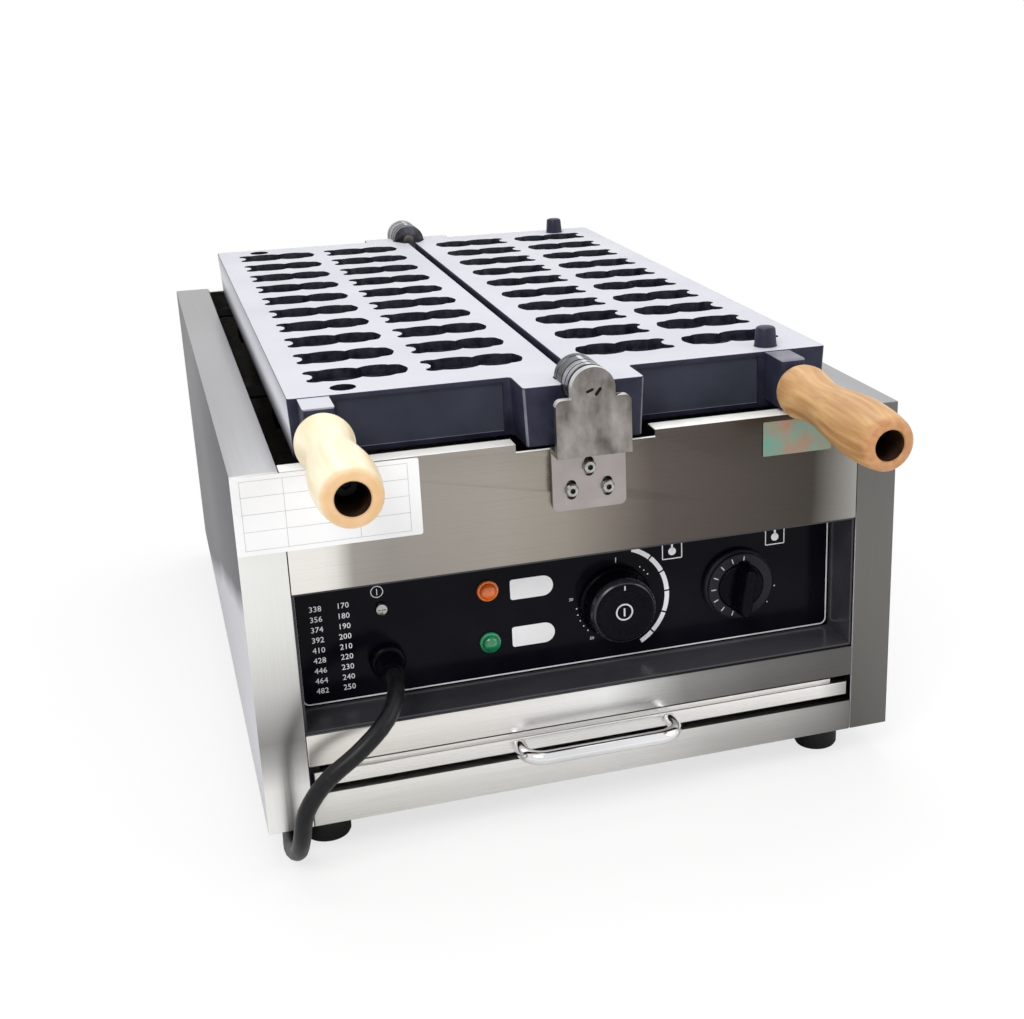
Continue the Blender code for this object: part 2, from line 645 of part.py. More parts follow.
def build_timer_knob():
    """A flat dial disc with a low hub and a grip bar that tapers outwards."""
    seat = PANEL_Y - KNOB_GAP
    x = TIMER_KNOB_X
    disc = bmesh.new()
    add_rod(disc, (x, seat, KNOB_Z), (x, seat - KNOB_SKIRT, KNOB_Z), KNOB_SKIRT_RADIUS, FINE_ROUND,
            KNOB_SKIRT_RADIUS - KNOB_EDGE)
    knob = make("timer_knob", disc, BLACK)
    hub = bmesh.new()
    add_rod(hub, (x, seat - KNOB_SKIRT / 2, KNOB_Z), (x, seat - KNOB_SKIRT - HUB_HEIGHT, KNOB_Z),
            HUB_RADIUS, FINE_ROUND, HUB_RADIUS - KNOB_EDGE)
    join(knob, hub)
    reach = WING_HALF_LENGTH - WING_HALF_WIDTH
    outline = arc((x, KNOB_Z + reach), WING_HALF_WIDTH, 0, math.pi, 6)
    outline += arc((x, KNOB_Z - reach), WING_HALF_WIDTH, math.pi, math.tau, 6)
    wing = bmesh.new()
    tips = add_prism(wing, [(px, seat - KNOB_SKIRT / 2, pz) for px, pz in outline],
                     (0, KNOB_SKIRT / 2 - KNOB_HEIGHT, 0))
    for vert in tips:
        vert.co.x = x + (vert.co.x - x) * WING_TAPER_SHARE
    join(knob, wing)
    socket = bmesh.new()
    add_rod(socket, (x, seat + OVERRUN, KNOB_Z), (x, seat - SHAFT_PIN_IN_KNOB - FIT, KNOB_Z),
            SHAFT_PIN_RADIUS + FIT, COARSE_ROUND)
    cut(knob, socket)
    return knob


def build_controls():
    """Knobs on their shafts, and the thermostat and the timer behind the panel."""
    rear = RECESS_BACK + FIT
    knobs = {"temperature": build_temperature_knob(), "timer": build_timer_knob()}
    thermostat = bmesh.new()
    add_rod(thermostat, (TEMP_KNOB_X, rear + BODY_NECK, KNOB_Z),
            (TEMP_KNOB_X, rear + BODY_NECK + THERMOSTAT_LENGTH, KNOB_Z), THERMOSTAT_RADIUS, ROUND)
    timer = bmesh.new()
    add_block(timer, (TIMER_KNOB_X - TIMER_WIDTH / 2, TIMER_KNOB_X + TIMER_WIDTH / 2),
              (rear + BODY_NECK, rear + BODY_NECK + TIMER_LENGTH),
              (KNOB_Z - TIMER_HEIGHT / 2, KNOB_Z + TIMER_HEIGHT / 2))
    for label, name, bm, x in (("temperature", "thermostat", thermostat, TEMP_KNOB_X),
                               ("timer", "timer", timer, TIMER_KNOB_X)):
        housing = make(name, bm, BLACK)
        neck = bmesh.new()
        add_rod(neck, (x, rear, KNOB_Z), (x, rear + BODY_NECK + OVERRUN, KNOB_Z), BODY_NECK_RADIUS,
                COARSE_ROUND)
        join(housing, neck)
        inner = rear + SHAFT_PIN_INSIDE
        bore = bmesh.new()
        add_rod(bore, (x, rear - OVERRUN, KNOB_Z), (x, inner + FIT, KNOB_Z), SHAFT_PIN_RADIUS + FIT,
                COARSE_ROUND)
        cut(housing, bore)
        pin = bmesh.new()
        add_rod(pin, (x, PANEL_Y - KNOB_GAP - SHAFT_PIN_IN_KNOB, KNOB_Z), (x, inner, KNOB_Z),
                SHAFT_PIN_RADIUS, COARSE_ROUND)
        shaft = make(label + "_shaft", pin, STEEL)
        hang(label + "_axis", (x, PANEL_Y, KNOB_Z), [knobs[label], shaft])


def pan_head_profile():
    """A pan-head screw whose head sits on height 0 and whose shank runs down."""
    profile = [(SCREW_HEAD_RADIUS * across, SCREW_HEAD_HEIGHT * up) for across, up in SCREW_HEAD_SHARES]
    return profile + [(SCREW_HEAD_RADIUS, 0), (SCREW_RADIUS, 0), (SCREW_RADIUS, -SCREW_LENGTH),
                      (0, -SCREW_LENGTH)]


def build_inlet():
    """Cable gland with its nut, the earth screw and the terminal block."""
    forward = (0, -1, 0)
    tip = GLAND_FLANGE + GLAND_NOSE
    profile = [
        (0, tip), (GLAND_TIP_RADIUS, tip), (GLAND_NOSE_RADIUS, GLAND_FLANGE),
        (GLAND_FLANGE_RADIUS - GLAND_CHAMFER, GLAND_FLANGE),
        (GLAND_FLANGE_RADIUS, GLAND_FLANGE - GLAND_CHAMFER), (GLAND_FLANGE_RADIUS, 0),
        (GLAND_STEM_RADIUS, 0), (GLAND_STEM_RADIUS, -GLAND_STEM), (0, -GLAND_STEM)]
    turned("cable_gland", profile, ROUND, facing((-GLAND_X, PANEL_Y - FIT, GLAND_Z), forward), BLACK)
    nut = bmesh.new()
    rear = RECESS_BACK + FIT
    add_rod(nut, (-GLAND_X, rear, GLAND_Z), (-GLAND_X, rear + GLAND_NUT, GLAND_Z), GLAND_NUT_RADIUS, 6)
    bore = bmesh.new()
    add_rod(bore, (-GLAND_X, rear - OVERRUN, GLAND_Z), (-GLAND_X, rear + GLAND_NUT + OVERRUN, GLAND_Z),
            GLAND_STEM_RADIUS + FIT, ROUND)
    cut(make("gland_nut", nut, BLACK), bore)
    earth = (-EARTH_X, PANEL_Y - FIT, LOWER_PLATE_TOP + EARTH_RISE)
    turned("earth_screw", pan_head_profile(), SCREW_ROUND, facing(earth, forward), STEEL)
    floor = SHIELD_FLOOR + SHEET + FIT
    middle = FRONT_Y + TERMINAL_BACK - TERMINAL_DEPTH / 2
    bm = bmesh.new()
    add_block(bm, (-GLAND_X - TERMINAL_LENGTH / 2, -GLAND_X + TERMINAL_LENGTH / 2),
              (middle - TERMINAL_DEPTH / 2, middle + TERMINAL_DEPTH / 2), (floor, floor + TERMINAL_HEIGHT))
    wells = bmesh.new()
    ways = 3
    for way in range(ways):
        x = -GLAND_X + TERMINAL_LENGTH * ((2 * way + 1) / (2 * ways) - 1 / 2)
        add_rod(wells, (x, middle, floor + TERMINAL_HEIGHT / 2), (x, middle, floor + TERMINAL_HEIGHT + OVERRUN),
                TERMINAL_WELL_RADIUS, COARSE_ROUND)
    cut(make("terminal_block", bm, CERAMIC), wells)


def build_bracket(label, face, out):
    """One bearing bracket: leg on the casing, ledge, and an upright plate with a round-topped lobe."""
    ledge = CASE_TOP - BRACKET_LEDGE_DROP
    top = HINGE_Z - BRACKET_TOP_DROP
    foot = ledge - BRACKET_LEG
    leg = FIT + BRACKET_SHEET
    profile = [
        (FIT, foot), (FIT, ledge + BRACKET_SHEET), (PLATE_STAND_OFF, ledge + BRACKET_SHEET),
        (PLATE_STAND_OFF, top), (BRACKET_REACH, top), (BRACKET_REACH, ledge), (leg, ledge), (leg, foot)]
    bm = bmesh.new()
    add_prism(bm, [(-BRACKET_HALF_WIDTH, face + out * depth, z) for depth, z in profile],
              (2 * BRACKET_HALF_WIDTH, 0, 0))
    corners = [edge for edge in bm.edges
               if abs(edge.verts[0].co.y - edge.verts[1].co.y) > FIT
               and any(abs(edge.verts[0].co.z - end) < FIT for end in (foot, top))]
    bmesh.ops.bevel(bm, geom=corners, offset=BRACKET_CORNER, segments=3, affect="EDGES", profile=0.5)
    bracket = make(label + "_hinge_bracket", bm, STEEL)
    outline = arc((0, HINGE_Z), RING_RADIUS, 0, math.pi, COARSE_ROUND)
    outline += [(-RING_RADIUS, top - OVERRUN), (RING_RADIUS, top - OVERRUN)]
    lobe = bmesh.new()
    add_prism(lobe, [(x, face + out * PLATE_STAND_OFF, z) for x, z in outline], (0, out * BEARING_PLATE, 0))
    join(bracket, lobe)
    holes = bmesh.new()
    add_rod(holes, (0, face + out * (PLATE_STAND_OFF - OVERRUN), HINGE_Z),
            (0, face + out * (BRACKET_REACH + OVERRUN), HINGE_Z), SHAFT_RADIUS + FIT, ROUND)
    half = (SLOT_LENGTH - SLOT_WIDTH) / 2
    for x, z in bracket_screw_places():
        slot = arc((x, z + half), SLOT_WIDTH / 2, 0, math.pi, 6)
        slot += arc((x, z - half), SLOT_WIDTH / 2, math.pi, math.tau, 6)
        add_prism(holes, [(px, face + out * (FIT - OVERRUN), pz) for px, pz in slot],
                  (0, out * (BRACKET_SHEET + 2 * OVERRUN), 0))
    cut(bracket, holes)
    for number, (x, z) in enumerate(bracket_screw_places(), 1):
        seat = (x, face + out * (leg + FIT), z)
        turned(f"{label}_bracket_screw_{number}", pan_head_profile(), SCREW_ROUND,
               facing(seat, (0, out, 0)), STEEL)


def build_hinge():
    """Bearing brackets, stub shafts, washers and collars at the front and the rear."""
    for label, face, out in (("front", FRONT_Y, -1), ("rear", REAR_Y, 1)):
        build_bracket(label, face, out)
        shaft = bmesh.new()
        add_rod(shaft, (0, face + out * BRACKET_REACH, HINGE_Z),
                (0, face - out * (COLLAR_START + COLLAR_LENGTH), HINGE_Z), SHAFT_RADIUS, ROUND)
        make(label + "_hinge_shaft", shaft, STEEL)
        bore = SHAFT_RADIUS + FIT
        inward = (0, -out, 0)
        turned(label + "_washer", ring_profile(WASHER_RADIUS, bore, WASHER_LENGTH), ROUND,
               facing((0, face + out * (PLATE_STAND_OFF - FIT), HINGE_Z), inward), STEEL)
        turned(label + "_shaft_collar", ring_profile(RING_RADIUS, bore, COLLAR_LENGTH), ROUND,
               facing((0, face - out * COLLAR_START, HINGE_Z), inward), STEEL)


def knuckle_spans(side):
    """Own knuckle, and the spans that the other rings need, as distances inside the casing's face."""
    washer_end = -(PLATE_STAND_OFF - FIT - WASHER_LENGTH - FIT)
    outer = (washer_end, OUTER_KNUCKLE_IN)
    inner = (OUTER_KNUCKLE_IN + RING_PLAY, OUTER_KNUCKLE_IN + RING_PLAY + INNER_KNUCKLE_LENGTH)
    split = OUTER_KNUCKLE_IN + RING_PLAY / 2
    end = COLLAR_START + COLLAR_LENGTH + RING_PLAY
    if side > 0:
        return outer, [(split, end)]
    return inner, [(-OVERRUN, split), (inner[1] + RING_PLAY / 2, end)]


def add_knuckles(mould, side):
    """Hinge rings on both bosses, room for the other mould's rings, and the shaft bore."""
    own, reliefs = knuckle_spans(side)
    rings = bmesh.new()
    grooves = bmesh.new()
    bores = bmesh.new()
    for face, inward in ((FRONT_Y, 1), (REAR_Y, -1)):
        add_rod(rings, (0, face + inward * own[0], HINGE_Z), (0, face + inward * own[1], HINGE_Z),
                RING_RADIUS, FINE_ROUND)
        for start, end in reliefs:
            add_rod(grooves, (0, face + inward * start, HINGE_Z), (0, face + inward * end, HINGE_Z),
                    RING_RADIUS + RELIEF_CLEARANCE, FINE_ROUND)
        add_rod(bores, (0, face - inward * PLATE_STAND_OFF, HINGE_Z),
                (0, face + inward * reliefs[-1][1], HINGE_Z), SHAFT_RADIUS + FIT, ROUND)
    cut(mould, grooves)
    join(mould, rings)
    cut(mould, bores)


def handle_frame(side):
    """Where a handle meets its lug, and which way it points."""
    across = LUG_RIGHT_X if side > 0 else -LUG_LEFT_X
    seat = Vector((across, FRONT_Y + LUG_FRONT, LAND_Z - HANDLE_DROP))
    if side < 0:
        return seat, Vector((0, -1, 0))
    level = Vector((math.sin(RIGHT_HANDLE_SPLAY), -math.cos(RIGHT_HANDLE_SPLAY), 0))
    return seat, level * math.cos(RIGHT_HANDLE_DROOP) - Vector((0, 0, math.sin(RIGHT_HANDLE_DROOP)))


def bear_outline(side, centre_x, centre_y):
    """A cavity's outline: two feet at the outer end, head towards the hinge."""
    upper = []
    for along, across in BEAR_SHARES:
        x = centre_x + CAVITY_LENGTH * (1 / 2 - along)
        upper.append((side * x, centre_y + CAVITY_HALF_WIDTH * across))
    lower = [(x, 2 * centre_y - y) for x, y in reversed(upper[1:-1])]
    return upper + lower


def scale_about(verts, centre, share_x, share_y):
    """Draw vertices in towards a centre, to give a pocket its draft."""
    for vert in verts:
        vert.co.x = centre[0] + (vert.co.x - centre[0]) * share_x
        vert.co.y = centre[1] + (vert.co.y - centre[1]) * share_y


def add_cavities(bm, side):
    """Drafted bear-shaped cavities in two columns."""
    middle = FRONT_Y + (MOULD_FRONT + MOULD_REAR) / 2 + ROW_SHIFT
    for column in (COLUMN_INNER, COLUMN_OUTER):
        for row in range(CAVITY_ROWS):
            y = middle + CAVITY_PITCH * (row - (CAVITY_ROWS - 1) / 2)
            outline = bear_outline(side, column, y)
            floor = add_prism(bm, [(px, py, LAND_Z + OVERRUN) for px, py in outline],
                              (0, 0, -(CAVITY_DEPTH + OVERRUN)))
            share_x = 1 - 2 * CAVITY_DRAFT / CAVITY_LENGTH
            share_y = 1 - CAVITY_DRAFT / CAVITY_HALF_WIDTH
            scale_about(floor, (side * column, y), share_x, share_y)


def add_back_pockets(bm, side):
    """The lightening pockets between the ribs of a mould's back."""
    width = MOULD_OUTER - MOULD_INNER - 2 * BACK_WALL
    length = MOULD_REAR - MOULD_FRONT - 2 * BACK_WALL
    cell_x = (width - (POCKET_COLUMNS - 1) * BACK_RIB) / POCKET_COLUMNS
    cell_y = (length - (POCKET_ROWS - 1) * BACK_RIB) / POCKET_ROWS
    mouth = MOULD_BOTTOM - OVERRUN
    for column in range(POCKET_COLUMNS):
        near = MOULD_INNER + BACK_WALL + column * (cell_x + BACK_RIB)
        for row in range(POCKET_ROWS):
            y = FRONT_Y + MOULD_FRONT + BACK_WALL + row * (cell_y + BACK_RIB)
            corners = [(side * near, y, mouth), (side * (near + cell_x), y, mouth),
                       (side * (near + cell_x), y + cell_y, mouth), (side * near, y + cell_y, mouth)]
            floor = add_prism(bm, corners, (0, 0, POCKET_DEPTH + OVERRUN))
            centre = (side * (near + cell_x / 2), y + cell_y / 2)
            scale_about(floor, centre, 1 - 2 * MOULD_DRAFT / cell_x, 1 - 2 * MOULD_DRAFT / cell_y)


def dowel_places(side):
    return [("front", side * DOWEL_X, FRONT_Y + MOULD_FRONT + DOWEL_INSET),
            ("rear", side * DOWEL_X, FRONT_Y + MOULD_REAR - DOWEL_INSET)]


def mould_block(side):
    """A mould's plain body with its two bosses, drafted towards the back."""
    front, rear = FRONT_Y + MOULD_FRONT, FRONT_Y + MOULD_REAR
    boss_front, boss_rear = FRONT_Y + BOSS_INSET, REAR_Y - BOSS_INSET
    plan = [
        (MOULD_INNER, boss_front), (BOSS_HALF_WIDTH, boss_front), (BOSS_HALF_WIDTH, front),
        (MOULD_OUTER, front), (MOULD_OUTER, rear), (BOSS_HALF_WIDTH, rear),
        (BOSS_HALF_WIDTH, boss_rear), (MOULD_INNER, boss_rear)]
    bm = bmesh.new()
    back = add_prism(bm, [(side * x, y, LAND_Z) for x, y in plan], (0, 0, -MOULD_THICKNESS))
    middle = (boss_front + boss_rear) / 2
    for vert in back:
        if abs(vert.co.x) > MOULD_INNER + FIT:
            vert.co.x -= side * MOULD_DRAFT
        vert.co.y += MOULD_DRAFT if vert.co.y < middle else -MOULD_DRAFT
    uprights = [edge for edge in bm.edges
                if abs(edge.verts[0].co.z - edge.verts[1].co.z) > MOULD_THICKNESS / 2
                and abs(edge.verts[0].co.x) > MOULD_INNER + MOULD_DRAFT]
    bmesh.ops.bevel(bm, geom=uprights, offset=MOULD_CORNER, segments=2, affect="EDGES", profile=0.5)
    return bm


def build_mould(side, name):
    """One casting: block, lug and knuckles, less its cavities, pockets and holes."""
    mould = make(name, mould_block(side), CAST)
    front = FRONT_Y + MOULD_FRONT
    centre_x, width = (LUG_RIGHT_X, LUG_RIGHT_WIDTH) if side > 0 else (LUG_LEFT_X, LUG_LEFT_WIDTH)
    lug = bmesh.new()
    add_block(lug, (side * (centre_x - width / 2), side * (centre_x + width / 2)),
              (FRONT_Y + LUG_FRONT, front + LUG_OVERLAP), (CASE_TOP + LUG_CLEARANCE, LAND_Z - LUG_DROP))
    edges = [edge for edge in lug.edges if all(vert.co.y < front for vert in edge.verts)]
    bmesh.ops.bevel(lug, geom=edges, offset=LUG_CHAMFER, segments=1, affect="EDGES")
    join(mould, lug)
    add_knuckles(mould, side)
    pits = bmesh.new()
    add_cavities(pits, side)
    cut(mould, pits)
    holes = bmesh.new()
    add_back_pockets(holes, side)
    for _, x, y in dowel_places(side):
        radius = DOWEL_RADIUS + FIT if side > 0 else DOWEL_HOLE_RADIUS
        depth = DOWEL_SEAT + FIT if side > 0 else DOWEL_HOLE_DEPTH
        add_rod(holes, (x, y, LAND_Z + OVERRUN), (x, y, LAND_Z - depth), radius, ROUND)
    seat, way = handle_frame(side)
    add_rod(holes, seat + way * OVERRUN, seat - way * BOLT_HOLE_DEPTH, BOLT_RADIUS + FIT, COARSE_ROUND)
    outer_edge = centre_x - width / 2 - WALL_PANEL_MARGIN
    add_block(holes, (side * (BOSS_HALF_WIDTH + WALL_PANEL_MARGIN), side * outer_edge),
              (front - OVERRUN, front + WALL_PANEL_DEPTH),
              (LAND_Z - WALL_PANEL_TOP, MOULD_BOTTOM + WALL_PANEL_LIP))
    cut(mould, holes)
    return mould


def build_dowels():
    """Tapered pins seated in the right mould's land."""
    profile = [
        (0, DOWEL_RISE), (DOWEL_TIP_RADIUS - DOWEL_CHAMFER, DOWEL_RISE),
        (DOWEL_TIP_RADIUS, DOWEL_RISE - DOWEL_CHAMFER), (DOWEL_RADIUS, 0), (DOWEL_RADIUS, -DOWEL_SEAT),
        (0, -DOWEL_SEAT)]
    return [turned("dowel_pin_" + label, profile, ROUND, Matrix.Translation((x, y, LAND_Z)), CAST)
            for label, x, y in dowel_places(1)]


def eased(start, end, steps):
    """Inner points of an S-shaped change of (radius, height) between two points."""
    points = []
    for i in range(1, steps):
        share = i / steps
        swell = (1 - math.cos(math.pi * share)) / 2
        points.append((start[0] + (end[0] - start[0]) * swell, start[1] + (end[1] - start[1]) * share))
    return points


def handle_profile(length):
    """The turned grip from its outer end in: counterbore rim, swell, waist, ball and seat."""
    ball = (HANDLE_BALL_RADIUS, length * BALL_SHARE)
    waist = (HANDLE_WAIST_RADIUS, length * WAIST_SHARE)
    grip = (HANDLE_GRIP_RADIUS, length * GRIP_SHARE)
    end = (HANDLE_END_RADIUS + HANDLE_EDGE, length - HANDLE_EDGE)
    floor = length - HANDLE_COUNTERBORE
    sweep = math.acos(HANDLE_SEAT_RADIUS / HANDLE_BALL_RADIUS)
    steps = 3
    cap = []
    for i in range(1, steps):
        angle = sweep * i / steps
        cap.append((ball[0] * math.cos(angle), ball[1] * (1 - math.sin(angle) / math.sin(sweep))))
    return [
        (HANDLE_COUNTERBORE_RADIUS, length), (HANDLE_END_RADIUS, length), end, *eased(end, grip, 2), grip,
        *eased(grip, waist, 4), waist, *eased(waist, ball, 3), ball, *cap, (HANDLE_SEAT_RADIUS, 0),
        (HANDLE_BORE_RADIUS, 0), (HANDLE_BORE_RADIUS, floor), (HANDLE_COUNTERBORE_RADIUS, floor)]


def build_handle(side, label, look):
    """A wooden handle and the bolt that holds it to its lug."""
    seat, way = handle_frame(side)
    tilt = way.angle(Vector((0, -1, 0)))
    gap = FIT + HANDLE_SEAT_RADIUS * math.sin(tilt)
    reach = HANDLE_REACH + LUG_FRONT - HANDLE_END_RADIUS * math.sin(tilt)
    length = reach / math.cos(tilt) - gap
    handle = turned("handle_" + label, handle_profile(length), HANDLE_ROUND, facing(seat + way * gap, way), look)
    head = gap + length - HANDLE_COUNTERBORE + FIT
    profile = [(0, head + BOLT_HEAD), (BOLT_HEAD_RADIUS, head + BOLT_HEAD), (BOLT_HEAD_RADIUS, head),
               (BOLT_RADIUS, head), (BOLT_RADIUS, -BOLT_IN_LUG), (0, -BOLT_IN_LUG)]
    bolt = turned("handle_bolt_" + label, profile, COARSE_ROUND, facing(seat, way), STEEL)
    return [handle, bolt]


def build_moulds():
    """Both moulds with what turns with each."""
    left = [build_mould(-1, "mould_left"), *build_handle(-1, "left", PALE_WOOD)]
    right = [build_mould(1, "mould_right"), *build_dowels(), *build_handle(1, "right", BROWN_WOOD)]
    hang("left_mould_axis", (0, 0, HINGE_Z), left)
    hang("right_mould_axis", (0, 0, HINGE_Z), right)


def build_tray():
    """Crumb tray with a rounded lip, its bow handle and the two runners."""
    floor = TRAY_LIP_BOTTOM
    front = FRONT_Y + FIT
    lip_half = INNER_HALF - TRAY_LIP_CLEARANCE
    bm = bmesh.new()
    add_block(bm, (-TRAY_HALF_WIDTH, TRAY_HALF_WIDTH), (front + TRAY_LIP_THICK / 2, FRONT_Y + TRAY_BACK),
              (floor, floor + TRAY_HEIGHT))
    tray = make("crumb_tray", bm, STEEL)
    lip = bmesh.new()
    add_block(lip, (-lip_half, lip_half), (front, front + TRAY_LIP_THICK), (TRAY_LIP_BOTTOM, TRAY_LIP_TOP))
    rounded = [edge for edge in lip.edges if all(vert.co.y < front + FIT for vert in edge.verts)]
    bmesh.ops.bevel(lip, geom=rounded, offset=TRAY_LIP_ROUND, segments=3, affect="EDGES", profile=0.5)
    join(tray, lip)
    inner = bmesh.new()
    add_block(inner, (-TRAY_HALF_WIDTH + TRAY_SHEET, TRAY_HALF_WIDTH - TRAY_SHEET),
              (front + TRAY_LIP_THICK, FRONT_Y + TRAY_BACK - TRAY_SHEET),
              (floor + TRAY_SHEET, floor + TRAY_HEIGHT + OVERRUN))
    cut(tray, inner)
    z = (TRAY_LIP_TOP + TRAY_LIP_BOTTOM) / 2
    reach = FRONT_Y - BOW_REACH
    near = BOW_HALF_SPAN - BOW_CORNER
    left = arc((-near, reach + BOW_CORNER), BOW_CORNER, math.pi, 1.5 * math.pi, 5)
    right = arc((near, reach + BOW_CORNER), BOW_CORNER, 1.5 * math.pi, math.tau, 5)
    route = [(-BOW_HALF_SPAN, FRONT_Y), *left, *right, (BOW_HALF_SPAN, FRONT_Y)]
    bow = tube("tray_handle", [(x, y, z) for x, y in route], BOW_RADIUS, 2, CHROME)
    hang("tray_slide", (0, FRONT_Y, z), [tray, bow])
    build_runners(floor - FIT)


def build_runners(shelf):
    """Two Z-shaped runners that carry the tray from the base pan."""
    wall = TRAY_HALF_WIDTH + TRAY_SIDE_PLAY
    low = PAN_TOP + FIT
    start, end = FRONT_Y + RUNNER_INSET, REAR_Y - RUNNER_INSET
    profile = [
        (wall + RUNNER_SHELF, low), (wall, low), (wall, shelf - SHEET), (wall - RUNNER_SHELF, shelf - SHEET),
        (wall - RUNNER_SHELF, shelf), (wall, shelf), (wall, shelf + RUNNER_GUIDE),
        (wall + SHEET, shelf + RUNNER_GUIDE), (wall + SHEET, low + SHEET), (wall + RUNNER_SHELF, low + SHEET)]
    for side, label in ((-1, "left"), (1, "right")):
        bm = bmesh.new()
        add_prism(bm, [(side * x, start, z) for x, z in profile], (0, end - start, 0))
        make("tray_runner_" + label, bm, STEEL)


def heater_route(side):
    """Centre line of one tubular heater: four runs under a mould, cold ends turned down."""
    runs = [HEATER_FIRST_RUN + i * HEATER_RUN_SPACING for i in range(4)]
    turn = HEATER_RUN_SPACING / 2
    front, back = FRONT_Y + HEATER_FRONT_TURN, FRONT_Y + HEATER_BACK_TURN
    cold = FRONT_Y + HEATER_COLD_END
    tail = SHIELD_TOP - HEATER_TAIL
    bend = 3 * HEATER_RADIUS
    rise = arc((cold + bend, HEATER_Z - bend), bend, math.pi, math.pi / 2, 4)
    points = [(runs[0], cold, tail), *[(runs[0], y, z) for y, z in rise]]
    points += [(x, y, HEATER_Z) for x, y in arc((runs[0] + turn, back), turn, math.pi, 0, 6)]
    points += [(x, y, HEATER_Z) for x, y in arc((runs[1] + turn, front), turn, math.pi, math.tau, 6)]
    points += [(x, y, HEATER_Z) for x, y in arc((runs[2] + turn, back), turn, math.pi, 0, 6)]
    points += [*[(runs[3], y, z) for y, z in reversed(rise)], (runs[3], cold, tail)]
    return [(side * x, y, z) for x, y, z in points]


def build_heating():
    """Two heaters, the cross rails that carry them and the moulds, and the heat shield."""
    for side, label in ((-1, "left"), (1, "right")):
        tube("heater_" + label, heater_route(side), HEATER_RADIUS, 1, HEATER_METAL)
    rail = HEATER_Z - HEATER_RADIUS - FIT
    step = MOULD_BOTTOM - FIT
    upper = [(-WALL_INSIDE, step), (-RAIL_TIP, step), (-RAIL_TIP, rail), (RAIL_TIP, rail), (RAIL_TIP, step),
             (WALL_INSIDE, step)]
    lower = [(WALL_INSIDE, step - SHEET), (RAIL_TIP + SHEET, step - SHEET), (RAIL_TIP + SHEET, rail - SHEET),
             (-RAIL_TIP - SHEET, rail - SHEET), (-RAIL_TIP - SHEET, step - SHEET),
             (-WALL_INSIDE, step - SHEET)]
    for label, distance in (("front", RAIL_FRONT), ("rear", RAIL_BACK)):
        bm = bmesh.new()
        add_prism(bm, [(x, FRONT_Y + distance, z) for x, z in upper + lower], (0, RAIL_WIDTH, 0))
        make("cross_rail_" + label, bm, STEEL)
    near, far = FRONT_Y + INNER_FLANGE + FIT, FRONT_Y + SHIELD_BACK
    profile = [
        (near, SHIELD_FLOOR), (far, SHIELD_FLOOR), (far, SHIELD_TOP), (near, SHIELD_TOP),
        (near, SHIELD_TOP - SHEET), (far - SHEET, SHIELD_TOP - SHEET), (far - SHEET, SHIELD_FLOOR + SHEET),
        (near, SHIELD_FLOOR + SHEET)]
    bm = bmesh.new()
    add_prism(bm, [(-WALL_INSIDE, y, z) for y, z in profile], (2 * WALL_INSIDE, 0, 0))
    holes = bmesh.new()
    for side in (-1, 1):
        for x in (HEATER_FIRST_RUN, HEATER_FIRST_RUN + 3 * HEATER_RUN_SPACING):
            y = FRONT_Y + HEATER_COLD_END
            add_rod(holes, (side * x, y, SHIELD_TOP - SHEET - OVERRUN), (side * x, y, SHIELD_TOP + OVERRUN),
                    HEATER_RADIUS + FIT, ROUND)
    cut(make("heat_shield", bm, STEEL), holes)


def smooth(points, step):
    """Points at an even step along a smooth curve through a route's own points, and its length."""
    ghosts = [points[0] * 2 - points[1], *points, points[-1] * 2 - points[-2]]
    grain = 24
    fine = []
    for i in range(1, len(ghosts) - 2):
        a, b, c, d = ghosts[i - 1:i + 3]
        for k in range(grain):
            t = k / grain
            fine.append((2 * b + (c - a) * t + (2 * a - 5 * b + 4 * c - d) * t ** 2
                         + (3 * b - a - 3 * c + d) * t ** 3) / 2)
    fine.append(points[-1])
    total = sum((q - p).length for p, q in zip(fine, fine[1:]))
    stride = total / max(2, round(total / step))
    spots, walked = [fine[0]], 0
    for p, q in zip(fine, fine[1:]):
        length = (q - p).length
        if walked + length >= stride * len(spots) and stride * len(spots) < total - stride / 2:
            spots.append(p.lerp(q, (stride * len(spots) - walked) / length))
        walked += length
    spots.append(fine[-1])
    return spots, total


def coil_points():
    """One cord wound in two layers: in for a while, up a layer as it reverses, and out again."""
    total = 2 * LAYER_TURNS + CLIMB_TURNS
    steps = round(total * LOOP_POINTS)
    middle = LAYER_TURNS + CLIMB_TURNS / 2
    spots = []
    for i in range(steps + 1):
        turn = total * i / steps
        radius = LOOP_RADIUS - LOOP_PITCH * (middle - abs(turn - middle))
        climb = min(1, max(0, (turn - LAYER_TURNS) / CLIMB_TURNS))
        height = CORD_RADIUS + LOOP_PITCH * (1 - math.cos(math.pi * climb)) / 2
        angle = math.pi - math.tau * turn
        spots.append(Vector((COIL_X + radius * math.cos(angle), COIL_Y + radius * math.sin(angle), height)))
    way = spots[-1] - spots[-2]
    way.z = 0
    way.normalize()
    return [spots[0] - Vector((0, 2 * CORD_RADIUS, 0)), *spots, spots[-1] + way * 2 * CORD_RADIUS], way


def least_gap(points):
    """The smallest gap of a wound cord to itself, past each point's near neighbours."""
    near = LOOP_POINTS // 4
    return min((p - q).length for i, p in enumerate(points) for q in points[i + near:]) - 2 * CORD_RADIUS


def tightest_bend(points):
    """The smallest radius of a circle through three neighbouring points."""
    radii = []
    for a, b, c in zip(points, points[1:], points[2:]):
        area = (b - a).cross(c - a).length / 2
        radii.append((b - a).length * (c - b).length * (c - a).length / (4 * max(area, FIT ** 3)))
    return min(radii)


